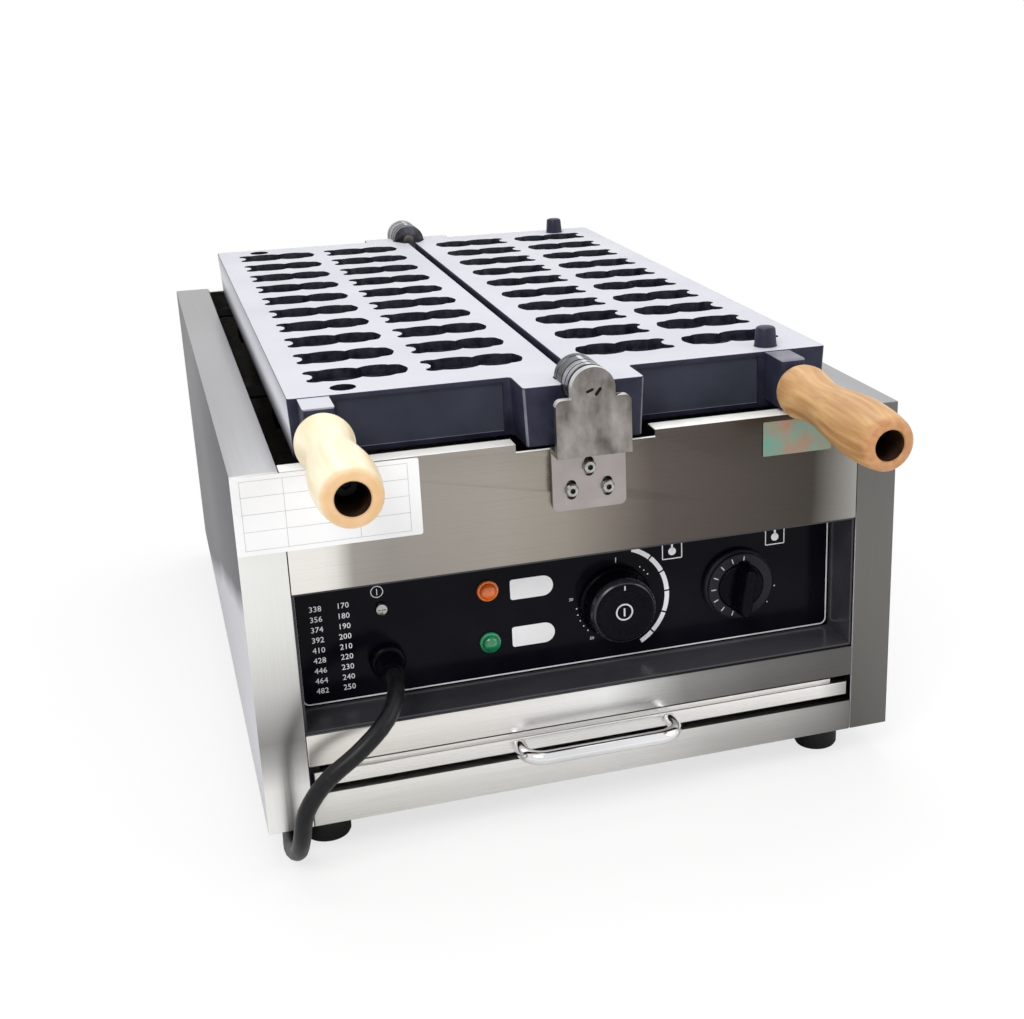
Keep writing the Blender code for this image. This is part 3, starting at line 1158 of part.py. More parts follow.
def build_cord():
    """Mains cord from the gland to the table and on to a stored coil, and its plug."""
    coil, way = coil_points()
    exit_y = PANEL_Y - FIT - GLAND_FLANGE - GLAND_NOSE - FIT
    ahead = Vector((0, CORD_RADIUS, 0))
    start, arrival = Vector((-GLAND_X, exit_y, GLAND_Z)), coil[0] - Vector((0, FIT, 0))
    route = [start - ahead, *[Vector(point) for point in CORD_ROUTE], arrival - 2 * ahead]
    lead, length = smooth(route, CORD_STEP)
    tube("mains_cord", [start, *lead, arrival], CORD_RADIUS, 1, RUBBER)
    tube("cord_coil", coil, CORD_RADIUS, 1, RUBBER)
    wound = sum((q - p).length for p, q in zip(coil, coil[1:]))
    print(f"cord: free stretch {length:.3f} m, tightest bend {tightest_bend(lead):.4f} m")
    print(f"coil: {wound:.3f} m, least gap {least_gap(coil):.5f} m")
    back = PLUG_TAIL_LENGTH + PLUG_LENGTH
    profile = [(PLUG_RADIUS * across, PLUG_TAIL_LENGTH + PLUG_LENGTH * up) for across, up in PLUG_SHARES]
    profile += [(PLUG_TAIL_RADIUS, PLUG_TAIL_LENGTH), (PLUG_TAIL_TIP, 0), (0, 0)]
    seat = facing(coil[-1] + way * FIT, way)
    plug = turned("mains_plug", profile, COARSE_ROUND, seat, RUBBER)
    pins = bmesh.new()
    for side in (-1, 1):
        x = side * PLUG_PIN_SPREAD / 2
        add_rod(pins, (x, 0, back - PLUG_PIN_LENGTH / 2), (x, 0, back + PLUG_PIN_LENGTH), PLUG_PIN_RADIUS,
                COARSE_ROUND)
    join(plug, pins)
    plug.modifiers["union"].object.matrix_world = seat


def main():
    reset_scene()
    build_casing()
    build_feet()
    build_recess()
    build_lamps()
    build_controls()
    build_inlet()
    build_hinge()
    build_moulds()
    build_tray()
    build_heating()
    build_cord()


main()
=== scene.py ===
"""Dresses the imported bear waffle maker: casing, controls, hinge line, moulds, tray and mains cord.

Metres in the row frame: +Z up, +X to the right of someone who faces the controls, +Y to the rear.
"""
from __future__ import annotations

import json
import logging
import math
from dataclasses import dataclass
from enum import Enum
from typing import Callable, Sequence

import bmesh
import bpy
from mathutils import Matrix, Vector

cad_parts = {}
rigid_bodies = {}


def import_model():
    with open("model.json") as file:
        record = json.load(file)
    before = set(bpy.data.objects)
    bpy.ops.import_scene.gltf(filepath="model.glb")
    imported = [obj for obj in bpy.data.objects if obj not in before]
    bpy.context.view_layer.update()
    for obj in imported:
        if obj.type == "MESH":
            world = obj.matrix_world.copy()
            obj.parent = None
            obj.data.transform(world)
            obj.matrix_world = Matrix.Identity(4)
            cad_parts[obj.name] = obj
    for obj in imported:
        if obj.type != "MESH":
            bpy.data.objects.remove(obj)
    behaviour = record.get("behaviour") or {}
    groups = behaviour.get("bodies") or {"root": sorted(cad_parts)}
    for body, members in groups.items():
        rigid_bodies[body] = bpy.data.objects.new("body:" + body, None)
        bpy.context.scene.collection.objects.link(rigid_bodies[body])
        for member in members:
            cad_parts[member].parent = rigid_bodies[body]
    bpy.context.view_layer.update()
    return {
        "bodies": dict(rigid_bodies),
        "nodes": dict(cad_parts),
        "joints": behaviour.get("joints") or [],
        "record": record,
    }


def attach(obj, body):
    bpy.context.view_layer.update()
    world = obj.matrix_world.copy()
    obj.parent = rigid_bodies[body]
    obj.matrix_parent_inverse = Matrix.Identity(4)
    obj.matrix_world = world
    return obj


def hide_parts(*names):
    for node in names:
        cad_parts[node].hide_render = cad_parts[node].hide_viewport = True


LOG = logging.getLogger("waffle_maker")
FIT = 0.0003
OVERRUN = 0.0010
Point = tuple[float, float, float]
Pair = tuple[float, float]
Colour = tuple[float, float, float]

# Sizes that several assemblies share
FRONT = -0.215
REAR = 0.301
CASE_TOP = 0.2257
BRACKET_SCREWS = ((0.0, 0.2101), (-0.0102, 0.1978), (0.0102, 0.1978))


class Body(Enum):
    """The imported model's bodies."""

    CASING = "casing"
    LEFT_MOULD = "left_mould"
    RIGHT_MOULD = "right_mould"
    TRAY = "tray"
    TEMPERATURE = "temperature_control"
    TIMER = "timer_control"


class Place(Enum):
    """One of two places on the object."""

    @property
    def word(self) -> str:
        """The place's name in a piece's name."""
        return self.name.lower()


class Side(Place):
    """Left and right, as the sign of X."""

    LEFT = -1
    RIGHT = 1


class End(Place):
    """Front and rear, as the way that points out of the casing along Y."""

    FRONT = -1
    REAR = 1

    @property
    def face(self) -> float:
        """The Y of the casing's face at this end."""
        return FRONT if self is End.FRONT else REAR


# Finishes

MIDDLE = (0.3, 0.7)  # the part of a noise's range that it really fills


class MaterialTree:
    """The node tree of one material, with short calls to add and join nodes."""

    def __init__(self, name: str) -> None:
        """Start a material with a bare Principled shader."""
        self.material = bpy.data.materials.new(name)
        self.material.use_nodes = True
        self.nodes = self.material.node_tree.nodes
        self.links = self.material.node_tree.links
        self.shader = self.nodes["Principled BSDF"]

    def set(self, **values: object) -> None:
        """Set the shader's own sockets, named with underscores for spaces."""
        for name, value in values.items():
            self.shader.inputs[name.replace("_", " ")].default_value = value

    def add(self, kind: str, **settings: object) -> bpy.types.Node:
        """Add a node and set its properties.

        Args:
            kind: the node's type name without its ShaderNode prefix.
            settings: properties, or input sockets in capitals with underscores for spaces.

        Returns:
            The new node.
        """
        node = self.nodes.new("ShaderNode" + kind)
        for name, value in settings.items():
            if hasattr(node, name):
                setattr(node, name, value)
            else:
                node.inputs[name.replace("_", " ")].default_value = value
        return node

    def join(self, source: bpy.types.NodeSocket, target: bpy.types.NodeSocket) -> None:
        """Link two sockets."""
        self.links.new(source, target)

    def noise(self, stretch: Point, scale: float, detail: float) -> bpy.types.NodeSocket:
        """Noise on the object's own coordinates.

        Args:
            stretch: a factor on each axis; a small one draws the noise out along that axis.
            scale: the noise's scale.
            detail: its detail.

        Returns:
            The noise's value socket.
        """
        place = self.add("TexCoord")
        mapping = self.add("Mapping", Scale=stretch)
        texture = self.add("TexNoise", Scale=scale, Detail=detail)
        self.join(place.outputs["Object"], mapping.inputs["Vector"])
        self.join(mapping.outputs["Vector"], texture.inputs["Vector"])
        return texture.outputs["Fac"]

    def ramp(self, value: bpy.types.NodeSocket, stops: Sequence[tuple[float, Colour]]) -> bpy.types.NodeSocket:
        """Colours along a value.

        Args:
            value: the socket to read.
            stops: (place, colour) pairs in order.

        Returns:
            The colour socket.
        """
        node = self.add("ValToRGB")
        band = node.color_ramp
        while len(band.elements) < len(stops):
            band.elements.new(0.5)
        for element, (place, colour) in zip(band.elements, stops):
            element.position = place
            element.color = (*colour, 1.0)
        self.join(value, node.inputs["Fac"])
        return node.outputs["Color"]

    def span(self, value: bpy.types.NodeSocket, old: Pair, new: Pair) -> bpy.types.NodeSocket:
        """A value moved from one range to another.

        Args:
            value: the socket to read.
            old: the range that it comes in.
            new: the range that it leaves in.

        Returns:
            The new value's socket.
        """
        node = self.add("MapRange")
        for name, number in zip(("From Min", "From Max", "To Min", "To Max"), (*old, *new)):
            node.inputs[name].default_value = number
        self.join(value, node.inputs["Value"])
        return node.outputs["Result"]

    def bump(self, value: bpy.types.NodeSocket, distance: float, strength: float) -> None:
        """Let a height socket press the surface in, by a distance in metres and a share of it."""
        node = self.add("Bump", Strength=strength, Distance=distance)
        self.join(value, node.inputs["Height"])
        self.join(node.outputs["Normal"], self.shader.inputs["Normal"])

    def axes(self) -> bpy.types.NodeOutputs:
        """The object's own coordinates, as one socket for each axis."""
        place, parts = self.add("TexCoord"), self.add("SeparateXYZ")
        self.join(place.outputs["Object"], parts.inputs["Vector"])
        return parts.outputs

    def dress(self, colour: bpy.types.NodeSocket, value: bpy.types.NodeSocket, roughness: Pair) -> None:
        """Give the shader its colour, and a roughness that follows a value."""
        self.join(colour, self.shader.inputs["Base Color"])
        self.join(self.span(value, MIDDLE, roughness), self.shader.inputs["Roughness"])


@dataclass(frozen=True)
class Finish:
    """A surface that varies gently between two colours and two degrees of roughness."""

    name: str
    dark: Colour
    light: Colour
    roughness: Pair
    metallic: float = 0.0
    stretch: Point = (1.0, 1.0, 1.0)
    scale: float = 90.0
    detail: float = 3.0
    relief: float = 0.0
    coat: float = 0.0
    ior: float = 1.5
    specular: float = 0.5

    def material(self) -> bpy.types.Material:
        """The finish as a material, made once."""
        found = bpy.data.materials.get(self.name)
        return found or self.build(MaterialTree(self.name))

    def build(self, tree: MaterialTree) -> bpy.types.Material:
        """Lay the nodes in an empty material's tree, and return the material."""
        tree.set(Metallic=self.metallic, Coat_Weight=self.coat, IOR=self.ior, Specular_IOR_Level=self.specular)
        value = tree.noise(self.stretch, self.scale, self.detail)
        tree.dress(tree.ramp(value, tuple(zip(MIDDLE, (self.dark, self.light)))), value, self.roughness)
        if self.relief:
            tree.bump(value, self.relief, 1.0)
        return tree.material


@dataclass(frozen=True)
class BrushedSteel(Finish):
    """Steel sheet with fine brush lines along one axis, and painted light and shade as a broad ramp of tone along one
    axis.
    """

    dark: Colour = (0.86, 0.86, 0.85)
    light: Colour = (1.0, 1.0, 0.99)
    roughness: Pair = (0.26, 0.34)
    metallic: float = 1.0
    relief: float = 0.000004
    line_stretch: Point = (12.0, 3600.0, 3600.0)
    # The next four fields set painted light and shade: a ramp of tone by position that multiplies the brush lines.
    painted_lighting_axis: str = "X"
    painted_lighting_span: Pair = (-0.19, 0.19)
    painted_lighting_tilt: float = 0.0
    painted_lighting: tuple[tuple[float, Colour], ...] = ((0.0, (1.0, 1.0, 1.0)), (1.0, (0.8, 0.8, 0.8)))

    def build(self, tree: MaterialTree) -> bpy.types.Material:
        """Lay brush lines over the ramp of painted light and shade.

        Args:
            tree: the empty material's tree.

        Returns:
            The material.
        """
        tree.set(Metallic=self.metallic, IOR=self.ior, Specular_IOR_Level=self.specular)
        lines = tree.noise(self.line_stretch, 1.0, 3.0)
        clouds = tree.noise((1.0, 1.0, 1.0), 6.0, 2.0)
        streaks = tree.ramp(lines, ((0.25, self.dark), (0.75, self.light)))
        axes = tree.axes()
        lean = tree.add("Math", operation="MULTIPLY_ADD")
        tree.join(axes["Y"], lean.inputs[0])
        lean.inputs[1].default_value = self.painted_lighting_tilt
        tree.join(axes[self.painted_lighting_axis], lean.inputs[2])
        along = tree.span(lean.outputs["Value"], self.painted_lighting_span, (0.0, 1.0))
        drift = tree.add("Math", operation="ADD")
        tree.join(along, drift.inputs[0])
        tree.join(tree.span(clouds, MIDDLE, (-0.02, 0.02)), drift.inputs[1])
        # Painted light and shade: the ramp of tone by position along one axis.
        shade = tree.ramp(drift.outputs["Value"], self.painted_lighting)
        mix = tree.add("Mix", data_type="RGBA", blend_type="MULTIPLY", Factor=1.0)
        tree.join(streaks, mix.inputs["A"])
        tree.join(shade, mix.inputs["B"])
        tree.dress(mix.outputs["Result"], lines, self.roughness)
        tree.bump(lines, self.relief, 0.3)
        return tree.material


@dataclass(frozen=True)
class Wood(Finish):
    """Turned wood with grain along the local Z axis and a darker sanded end."""

    end_tint: Colour = (0.45, 0.16, 0.04)
    end_from: float = 0.09
    end_to: float = 0.106

    def build(self, tree: MaterialTree) -> bpy.types.Material:
        """Lay grain, pores and the darker end.

        Args:
            tree: the empty material's tree.

        Returns:
            The material.
        """
        tree.set(Coat_Weight=self.coat)
        grain = tree.noise(self.stretch, self.scale, self.detail)
        middle = tuple((a + b) / 2 for a, b in zip(self.dark, self.light))
        colour = tree.ramp(grain, ((0.30, self.dark), (0.48, middle), (0.66, self.light)))
        share = tree.span(tree.axes()["Z"], (self.end_from, self.end_to), (0.0, 0.75))
        mix = tree.add("Mix", data_type="RGBA")
        tree.join(share, mix.inputs["Factor"])
        tree.join(colour, mix.inputs["A"])
        mix.inputs["B"].default_value = (*self.end_tint, 1.0)
        tree.dress(mix.outputs["Result"], grain, self.roughness)
        pores = tree.noise((1.0, 1.0, 0.04), 1400.0, 2.0)
        tree.bump(pores, self.relief, 0.5)
        return tree.material


# In these steels the ramps are painted light and shade: each sheet gets lighter or darker along one axis where light or
# shade falls on it.
FASCIA_STEEL = BrushedSteel(
    "brushed_fascia_steel", (0.86, 0.85, 0.83), (1.0, 0.99, 0.97), painted_lighting=(
        (0.118, (0.80, 0.78, 0.76)), (0.136, (0.72, 0.70, 0.68)), (0.162, (0.34, 0.32, 0.30)),
        (0.22, (0.30, 0.28, 0.26)), (0.36, (0.34, 0.315, 0.285)), (0.46, (0.30, 0.275, 0.24)),
        (0.61, (0.112, 0.094, 0.087)), (0.86, (0.058, 0.051, 0.045)), (0.94, (0.36, 0.355, 0.34))))
PANEL_STEEL = BrushedSteel(
    "brushed_panel_steel", painted_lighting=(
        (0.05, (0.72, 0.70, 0.66)), (0.30, (0.74, 0.71, 0.69)), (0.52, (0.80, 0.80, 0.80)),
        (0.66, (0.26, 0.255, 0.25)), (0.78, (0.15, 0.146, 0.144)), (0.90, (0.105, 0.101, 0.099))))
RAIL_STEEL = BrushedSteel(
    "brushed_rail_steel", painted_lighting=(
        (0.05, (0.70, 0.69, 0.66)), (0.50, (0.74, 0.73, 0.72)), (0.60, (0.69, 0.68, 0.67)),
        (0.70, (0.53, 0.52, 0.51)), (0.80, (0.43, 0.42, 0.41)), (0.88, (0.28, 0.275, 0.27)),
        (0.95, (0.12, 0.118, 0.112))))
TRAY_STEEL = BrushedSteel(
    "brushed_tray_steel", roughness=(0.24, 0.32), painted_lighting=(
        (0.05, (0.76, 0.74, 0.72)), (0.50, (0.76, 0.75, 0.74)), (0.72, (0.84, 0.82, 0.81)),
        (0.88, (0.80, 0.78, 0.77)), (0.93, (0.30, 0.295, 0.29))))
COVER_STEEL = BrushedSteel(
    "brushed_cover_steel", (0.88, 0.88, 0.88), (1.0, 1.0, 1.0), (0.30, 0.38),
    line_stretch=(3600.0, 12.0, 3600.0), painted_lighting_axis="Y", painted_lighting_span=(FRONT, REAR), painted_lighting=(
        (0.0, (0.42, 0.42, 0.43)), (0.5, (0.39, 0.39, 0.40)), (1.0, (0.33, 0.33, 0.34))))
SIDE_STEEL = BrushedSteel(
    "brushed_side_steel", (0.88, 0.88, 0.88), (1.0, 1.0, 1.0), (0.42, 0.52), 0.1,
    specular=0.15, line_stretch=(3600.0, 12.0, 3600.0), painted_lighting_axis="Z",
    painted_lighting_span=(-0.05, 0.25), painted_lighting_tilt=0.32, painted_lighting=(
        (0.0, (0.62, 0.62, 0.655)), (0.44, (0.57, 0.57, 0.605)), (0.49, (0.118, 0.118, 0.127)),
        (0.80, (0.108, 0.108, 0.116)), (1.0, (0.15, 0.15, 0.16))))
# The front posts are one steel, as a lit copy on the left and a shaded copy on the right. The left post's ramp also
# paints a dip of shade low down and lightens its foot against the cord's shadow.
LIT_LEFT_POST = BrushedSteel(
    "brushed_left_post_steel", (0.88, 0.88, 0.87), roughness=(0.28, 0.36),
    line_stretch=(3600.0, 3600.0, 12.0), painted_lighting_axis="Z", painted_lighting_span=(0.02, 0.226), painted_lighting=(
        (0.0, (0.95, 0.94, 0.92)), (0.12, (0.84, 0.83, 0.81)), (0.20, (0.42, 0.415, 0.41)), (0.26, (0.28, 0.275, 0.27)),
        (0.30, (0.335, 0.33, 0.325)), (0.36, (0.44, 0.435, 0.43)), (0.42, (0.545, 0.54, 0.53)),
        (0.60, (0.73, 0.73, 0.71)), (0.75, (0.81, 0.81, 0.79)), (1.0, (0.84, 0.84, 0.83))))
SHADED_RIGHT_POST = BrushedSteel(
    "brushed_right_post_steel", (0.88, 0.88, 0.87), roughness=(0.28, 0.36),
    line_stretch=(3600.0, 3600.0, 12.0), painted_lighting_axis="Z", painted_lighting_span=(0.02, 0.226), painted_lighting=(
        (0.0, (0.135, 0.132, 0.126)), (1.0, (0.162, 0.159, 0.152))))
HINGE_STEEL = Finish(
    "rubbed_hinge_steel", (0.050, 0.042, 0.037), (0.36, 0.335, 0.315), (0.26, 0.42), 1.0,
    stretch=(1.0, 1.0, 0.6), scale=80.0, detail=8.0, relief=0.00004)
# The bracket's leg: a lighter copy of the bracket's steel, painted light.
LIT_LEG_STEEL = Finish(
    "leg_steel_painted_light", (0.27, 0.24, 0.23), (0.37, 0.335, 0.325), (0.30, 0.42), 1.0, scale=30.0, detail=4.0)
# Painted highlight on the bracket plate's rounded border.
BORDER_HIGHLIGHT = Finish("painted_border_highlight", (0.40, 0.39, 0.38), (0.62, 0.61, 0.59), (0.34, 0.44), 0.35, scale=60.0)
# Painted highlight along the top fold of the fascia and the rear panel, and on the notch's floor.
FOLD_HIGHLIGHT = Finish("painted_fold_highlight", (0.80, 0.79, 0.76), (0.95, 0.94, 0.92), (0.35, 0.45), 0.0, scale=40.0)
# A darker copy of the ring steel, painted shade: on the left mould's knuckle rings and on the shaft collars.
SHADED_RING = Finish(
    "ring_steel_painted_shade", (0.015, 0.016, 0.020), (0.15, 0.15, 0.17), (0.26, 0.42), 0.9,
    scale=110.0, detail=6.0, relief=0.00004)
RING_STEEL = Finish(
    "dull_ring_steel", (0.05, 0.05, 0.055), (0.20, 0.20, 0.215), (0.26, 0.42), 0.9,
    scale=110.0, detail=6.0, relief=0.00004)
# Heat shield and cross rails: painted near black, as the shade in the gap between the moulds.
SHADED_INNER_STEEL = Finish(
    "inner_steel_painted_shade", (0.0012, 0.0012, 0.0014), (0.003, 0.003, 0.0034), (0.70, 0.80), 0.0, scale=40.0,
    detail=4.0, specular=0.01)
PLAIN_STEEL = Finish("zinc_plated_steel", (0.30, 0.30, 0.29), (0.50, 0.50, 0.48), (0.22, 0.34), 1.0, scale=220.0)
# A lighter copy of the ring steel, painted light: on the right mould's knuckle rings.
LIT_RING = Finish(
    "ring_steel_painted_light", (0.05, 0.05, 0.055), (0.48, 0.48, 0.50), (0.28, 0.45), 0.9,
    scale=120.0, detail=6.0, relief=0.00004)
# Painted highlights on the casting: lighter faces on the right lug's top, the boss corners, the sunk panel's foot and
# the cavities' neck ridge.
EDGE_HIGHLIGHT = Finish("painted_edge_highlight", (0.10, 0.10, 0.13), (0.20, 0.20, 0.25), (0.36, 0.48), 0.0, scale=60.0)
# The moulds' outer side walls: the dark coat painted lilac grey, brightest just above the middle, as painted light and
# reflection.
LIT_OUTER_WALL = BrushedSteel(
    "outer_wall_painted_light", (0.80, 0.80, 0.82), (1.0, 1.0, 1.0), (0.36, 0.46), 0.0,
    line_stretch=(60.0, 14.0, 500.0), painted_lighting_axis="Z", painted_lighting_span=(0.2226, 0.2556), painted_lighting=(
        (0.05, (0.10, 0.10, 0.12)), (0.28, (0.50, 0.50, 0.55)), (0.52, (0.92, 0.92, 0.98)), (0.74, (0.72, 0.72, 0.78)),
        (0.95, (0.46, 0.46, 0.50))))
# The moulds' flat top, the left lug's top and the scoops by the rings: the dark coat painted light grey, as a painted
# sheen.
LAND_SHEEN = Finish(
    "land_painted_sheen", (0.52, 0.52, 0.575), (0.59, 0.59, 0.64), (0.38, 0.46), 0.0,
    scale=14.0, detail=5.0, relief=0.00001, specular=0.3)
COATED_IRON = Finish(
    "coated_iron", (0.018, 0.019, 0.036), (0.031, 0.032, 0.057), (0.34, 0.46), 0.0,
    scale=120.0, detail=4.0, relief=0.00001, specular=0.16)
WALL_PANEL = Finish(
    "cast_wall_panel", (0.028, 0.032, 0.050), (0.044, 0.049, 0.071), (0.40, 0.54), 0.0,
    scale=45.0, detail=6.0, relief=0.00002, specular=0.12)
# Inside the cavities: the coat painted darker than elsewhere, as painted shade in the recesses.
SHADED_CAVITY_IRON = Finish(
    "cavity_iron_painted_shade", (0.006, 0.007, 0.014), (0.022, 0.024, 0.036), (0.22, 0.36), 0.0,
    scale=190.0, detail=5.0, relief=0.00020, specular=0.35)
GLOSS_PANEL = Finish(
    "gloss_black_panel", (0.003, 0.003, 0.006), (0.006, 0.006, 0.010), (0.12, 0.18), 0.0,
    scale=30.0, relief=0.0, specular=0.06)
# The control recess: black gloss lifted to dark grey, with soft bands along X, as painted reflection.
RECESS_GLOSS = Finish(
    "gloss_black_recess", (0.030, 0.030, 0.037), (0.062, 0.062, 0.071), (0.16, 0.24), 0.0,
    stretch=(0.3, 1.0, 1.0), scale=16.0, specular=0.30)
# The temperature knob's rounded rim: the black plastic painted lighter and glossier, as a painted highlight.
KNOB_RIM_HIGHLIGHT = Finish(
    "knob_rim_painted_highlight", (0.010, 0.010, 0.014), (0.026, 0.026, 0.032), (0.16, 0.24), 0.0, scale=300.0, specular=0.5)
KNOB_PLASTIC = Finish(
    "moulded_black_plastic", (0.0015, 0.0015, 0.003), (0.003, 0.003, 0.005), (0.22, 0.30), 0.0,
    scale=500.0, relief=0.000004, specular=0.06)
SKIRT_PLASTIC = Finish(
    "moulded_grey_plastic", (0.012, 0.012, 0.018), (0.018, 0.018, 0.026), (0.34, 0.42), 0.0,
    scale=500.0, relief=0.000004, specular=0.14)
RUBBER = Finish(
    "black_rubber", (0.004, 0.004, 0.005), (0.010, 0.010, 0.011), (0.42, 0.60), 0.0,
    scale=320.0, relief=0.00002, specular=0.25)
CORD_RUBBER = Finish(
    "cord_rubber", (0.003, 0.003, 0.004), (0.008, 0.008, 0.010), (0.30, 0.42), 0.0,
    scale=320.0, relief=0.00001, specular=0.22)
CHROME = Finish("chrome", (0.60, 0.60, 0.61), (0.78, 0.78, 0.79), (0.06, 0.12), 1.0, scale=12.0)
PRINT_WHITE = Finish("white_print", (0.93, 0.93, 0.95), (0.97, 0.97, 0.98), (0.35, 0.45), scale=200.0)
PRINT_GREY = Finish("grey_print", (0.50, 0.50, 0.52), (0.62, 0.62, 0.64), (0.35, 0.45), scale=200.0)
PLATE_WHITE = Finish("blank_plate_white", (0.80, 0.80, 0.81), (0.88, 0.88, 0.89), (0.30, 0.40), scale=20.0)
PLATE_LINE = Finish("plate_ruling", (0.42, 0.43, 0.45), (0.55, 0.56, 0.58), (0.40, 0.50), scale=60.0)
SEAL = Finish("pastel_seal", (0.34, 0.17, 0.11), (0.12, 0.30, 0.24), (0.16, 0.26), 0.35, scale=70.0, detail=3.0)
ORANGE_LENS = Finish("orange_lens", (0.72, 0.10, 0.006), (0.92, 0.22, 0.02), (0.08, 0.16), scale=240.0, coat=0.6)
GREEN_LENS = Finish("green_lens", (0.004, 0.14, 0.05), (0.012, 0.32, 0.13), (0.08, 0.16), scale=240.0, coat=0.6)
CERAMIC = Finish("terminal_ceramic", (0.66, 0.64, 0.58), (0.80, 0.78, 0.72), (0.45, 0.60), scale=150.0)
HEATER = Finish("heater_sheath", (0.03, 0.028, 0.028), (0.09, 0.08, 0.075), (0.40, 0.60), 0.8, scale=90.0)
# Painted shade in hollows: down the grips' bores and in the staked dents.
HOLLOW_SHADE = Finish(
    "painted_hollow_shade", (0.010, 0.005, 0.003), (0.045, 0.020, 0.010), (0.55, 0.75), scale=120.0, specular=0.1)
# Dark bolt steel; on the screws' hexagon sockets it is painted shade.
BOLT_DARK = Finish("dark_bolt_and_socket_shade", (0.010, 0.009, 0.009), (0.030, 0.028, 0.027), (0.35, 0.50), 0.6, scale=200.0)
PALE_WOOD = Wood(
    "pale_turned_wood", (0.78, 0.62, 0.38), (0.93, 0.84, 0.64), (0.42, 0.56), stretch=(1.0, 1.0, 0.10),
    scale=120.0, detail=5.0, relief=0.00004, coat=0.08, end_tint=(0.70, 0.36, 0.12), end_from=0.101, end_to=0.106)
BROWN_WOOD = Wood(
    "brown_turned_wood", (0.38, 0.17, 0.055), (0.64, 0.39, 0.17), (0.42, 0.56), stretch=(1.0, 1.0, 0.05),
    scale=260.0, detail=6.0, relief=0.00004, coat=0.08, end_tint=(0.50, 0.20, 0.08), end_from=0.098, end_to=0.107)

MOULD_FINISHES = (COATED_IRON, LAND_SHEEN, SHADED_CAVITY_IRON, WALL_PANEL, LIT_RING, LIT_OUTER_WALL, EDGE_HIGHLIGHT, SHADED_RING)


# Shapes


def arc(centre: Pair, radius: float, start: float, end: float, steps: int) -> list[Pair]:
    """Points of a flat arc.

    Args:
        centre: its centre.
        radius: its radius.
        start: the first angle, in radians.
        end: the last angle.
        steps: how many chords it has.

    Returns:
        The points, as (first axis, second axis) pairs.
    """
    angles = [start + (end - start) * i / steps for i in range(steps + 1)]
    return [(centre[0] + radius * math.cos(a), centre[1] + radius * math.sin(a)) for a in angles]


def band(outer: Sequence[Pair], inner: Sequence[Pair]) -> list[list[Pair]]:
    """The four-cornered patches between two lines of equal counts."""
    return [[*outer[i:i + 2], *reversed(inner[i:i + 2])] for i in range(len(outer) - 1)]


def facing(origin: Sequence[float], direction: Sequence[float]) -> Matrix:
    """A placement whose local Z points along a direction."""
    turn = Vector((0, 0, 1)).rotation_difference(Vector(direction)).to_matrix().to_4x4()
    return Matrix.Translation(Vector(origin)) @ turn


def smooth_line(points: Sequence[Vector], step: float) -> list[Vector]:
    """A smooth curve through points, at an even step.

    Args:
        points: the points to pass.
        step: the wanted distance between the new points.

    Returns:
        The new points.
    """
    ghosts = [points[0] * 2 - points[1], *points, points[-1] * 2 - points[-2]]
    fine: list[Vector] = []
    for i in range(1, len(ghosts) - 2):
        a, b, c, d = ghosts[i - 1:i + 3]
        for k in range(24):
            t = k / 24
            fine.append((2 * b + (c - a) * t + (2 * a - 5 * b + 4 * c - d) * t ** 2
                         + (3 * b - a - 3 * c + d) * t ** 3) / 2)
    fine.append(points[-1])
    total = sum((q - p).length for p, q in zip(fine, fine[1:]))
    stride = total / max(2, round(total / step))
    spots, walked = [fine[0]], 0.0
    for p, q in zip(fine, fine[1:]):
        length = (q - p).length
        if walked + length >= stride * len(spots) and stride * len(spots) < total - stride / 2:
            spots.append(p.lerp(q, (stride * len(spots) - walked) / length))
        walked += length
    return [*spots, fine[-1]]


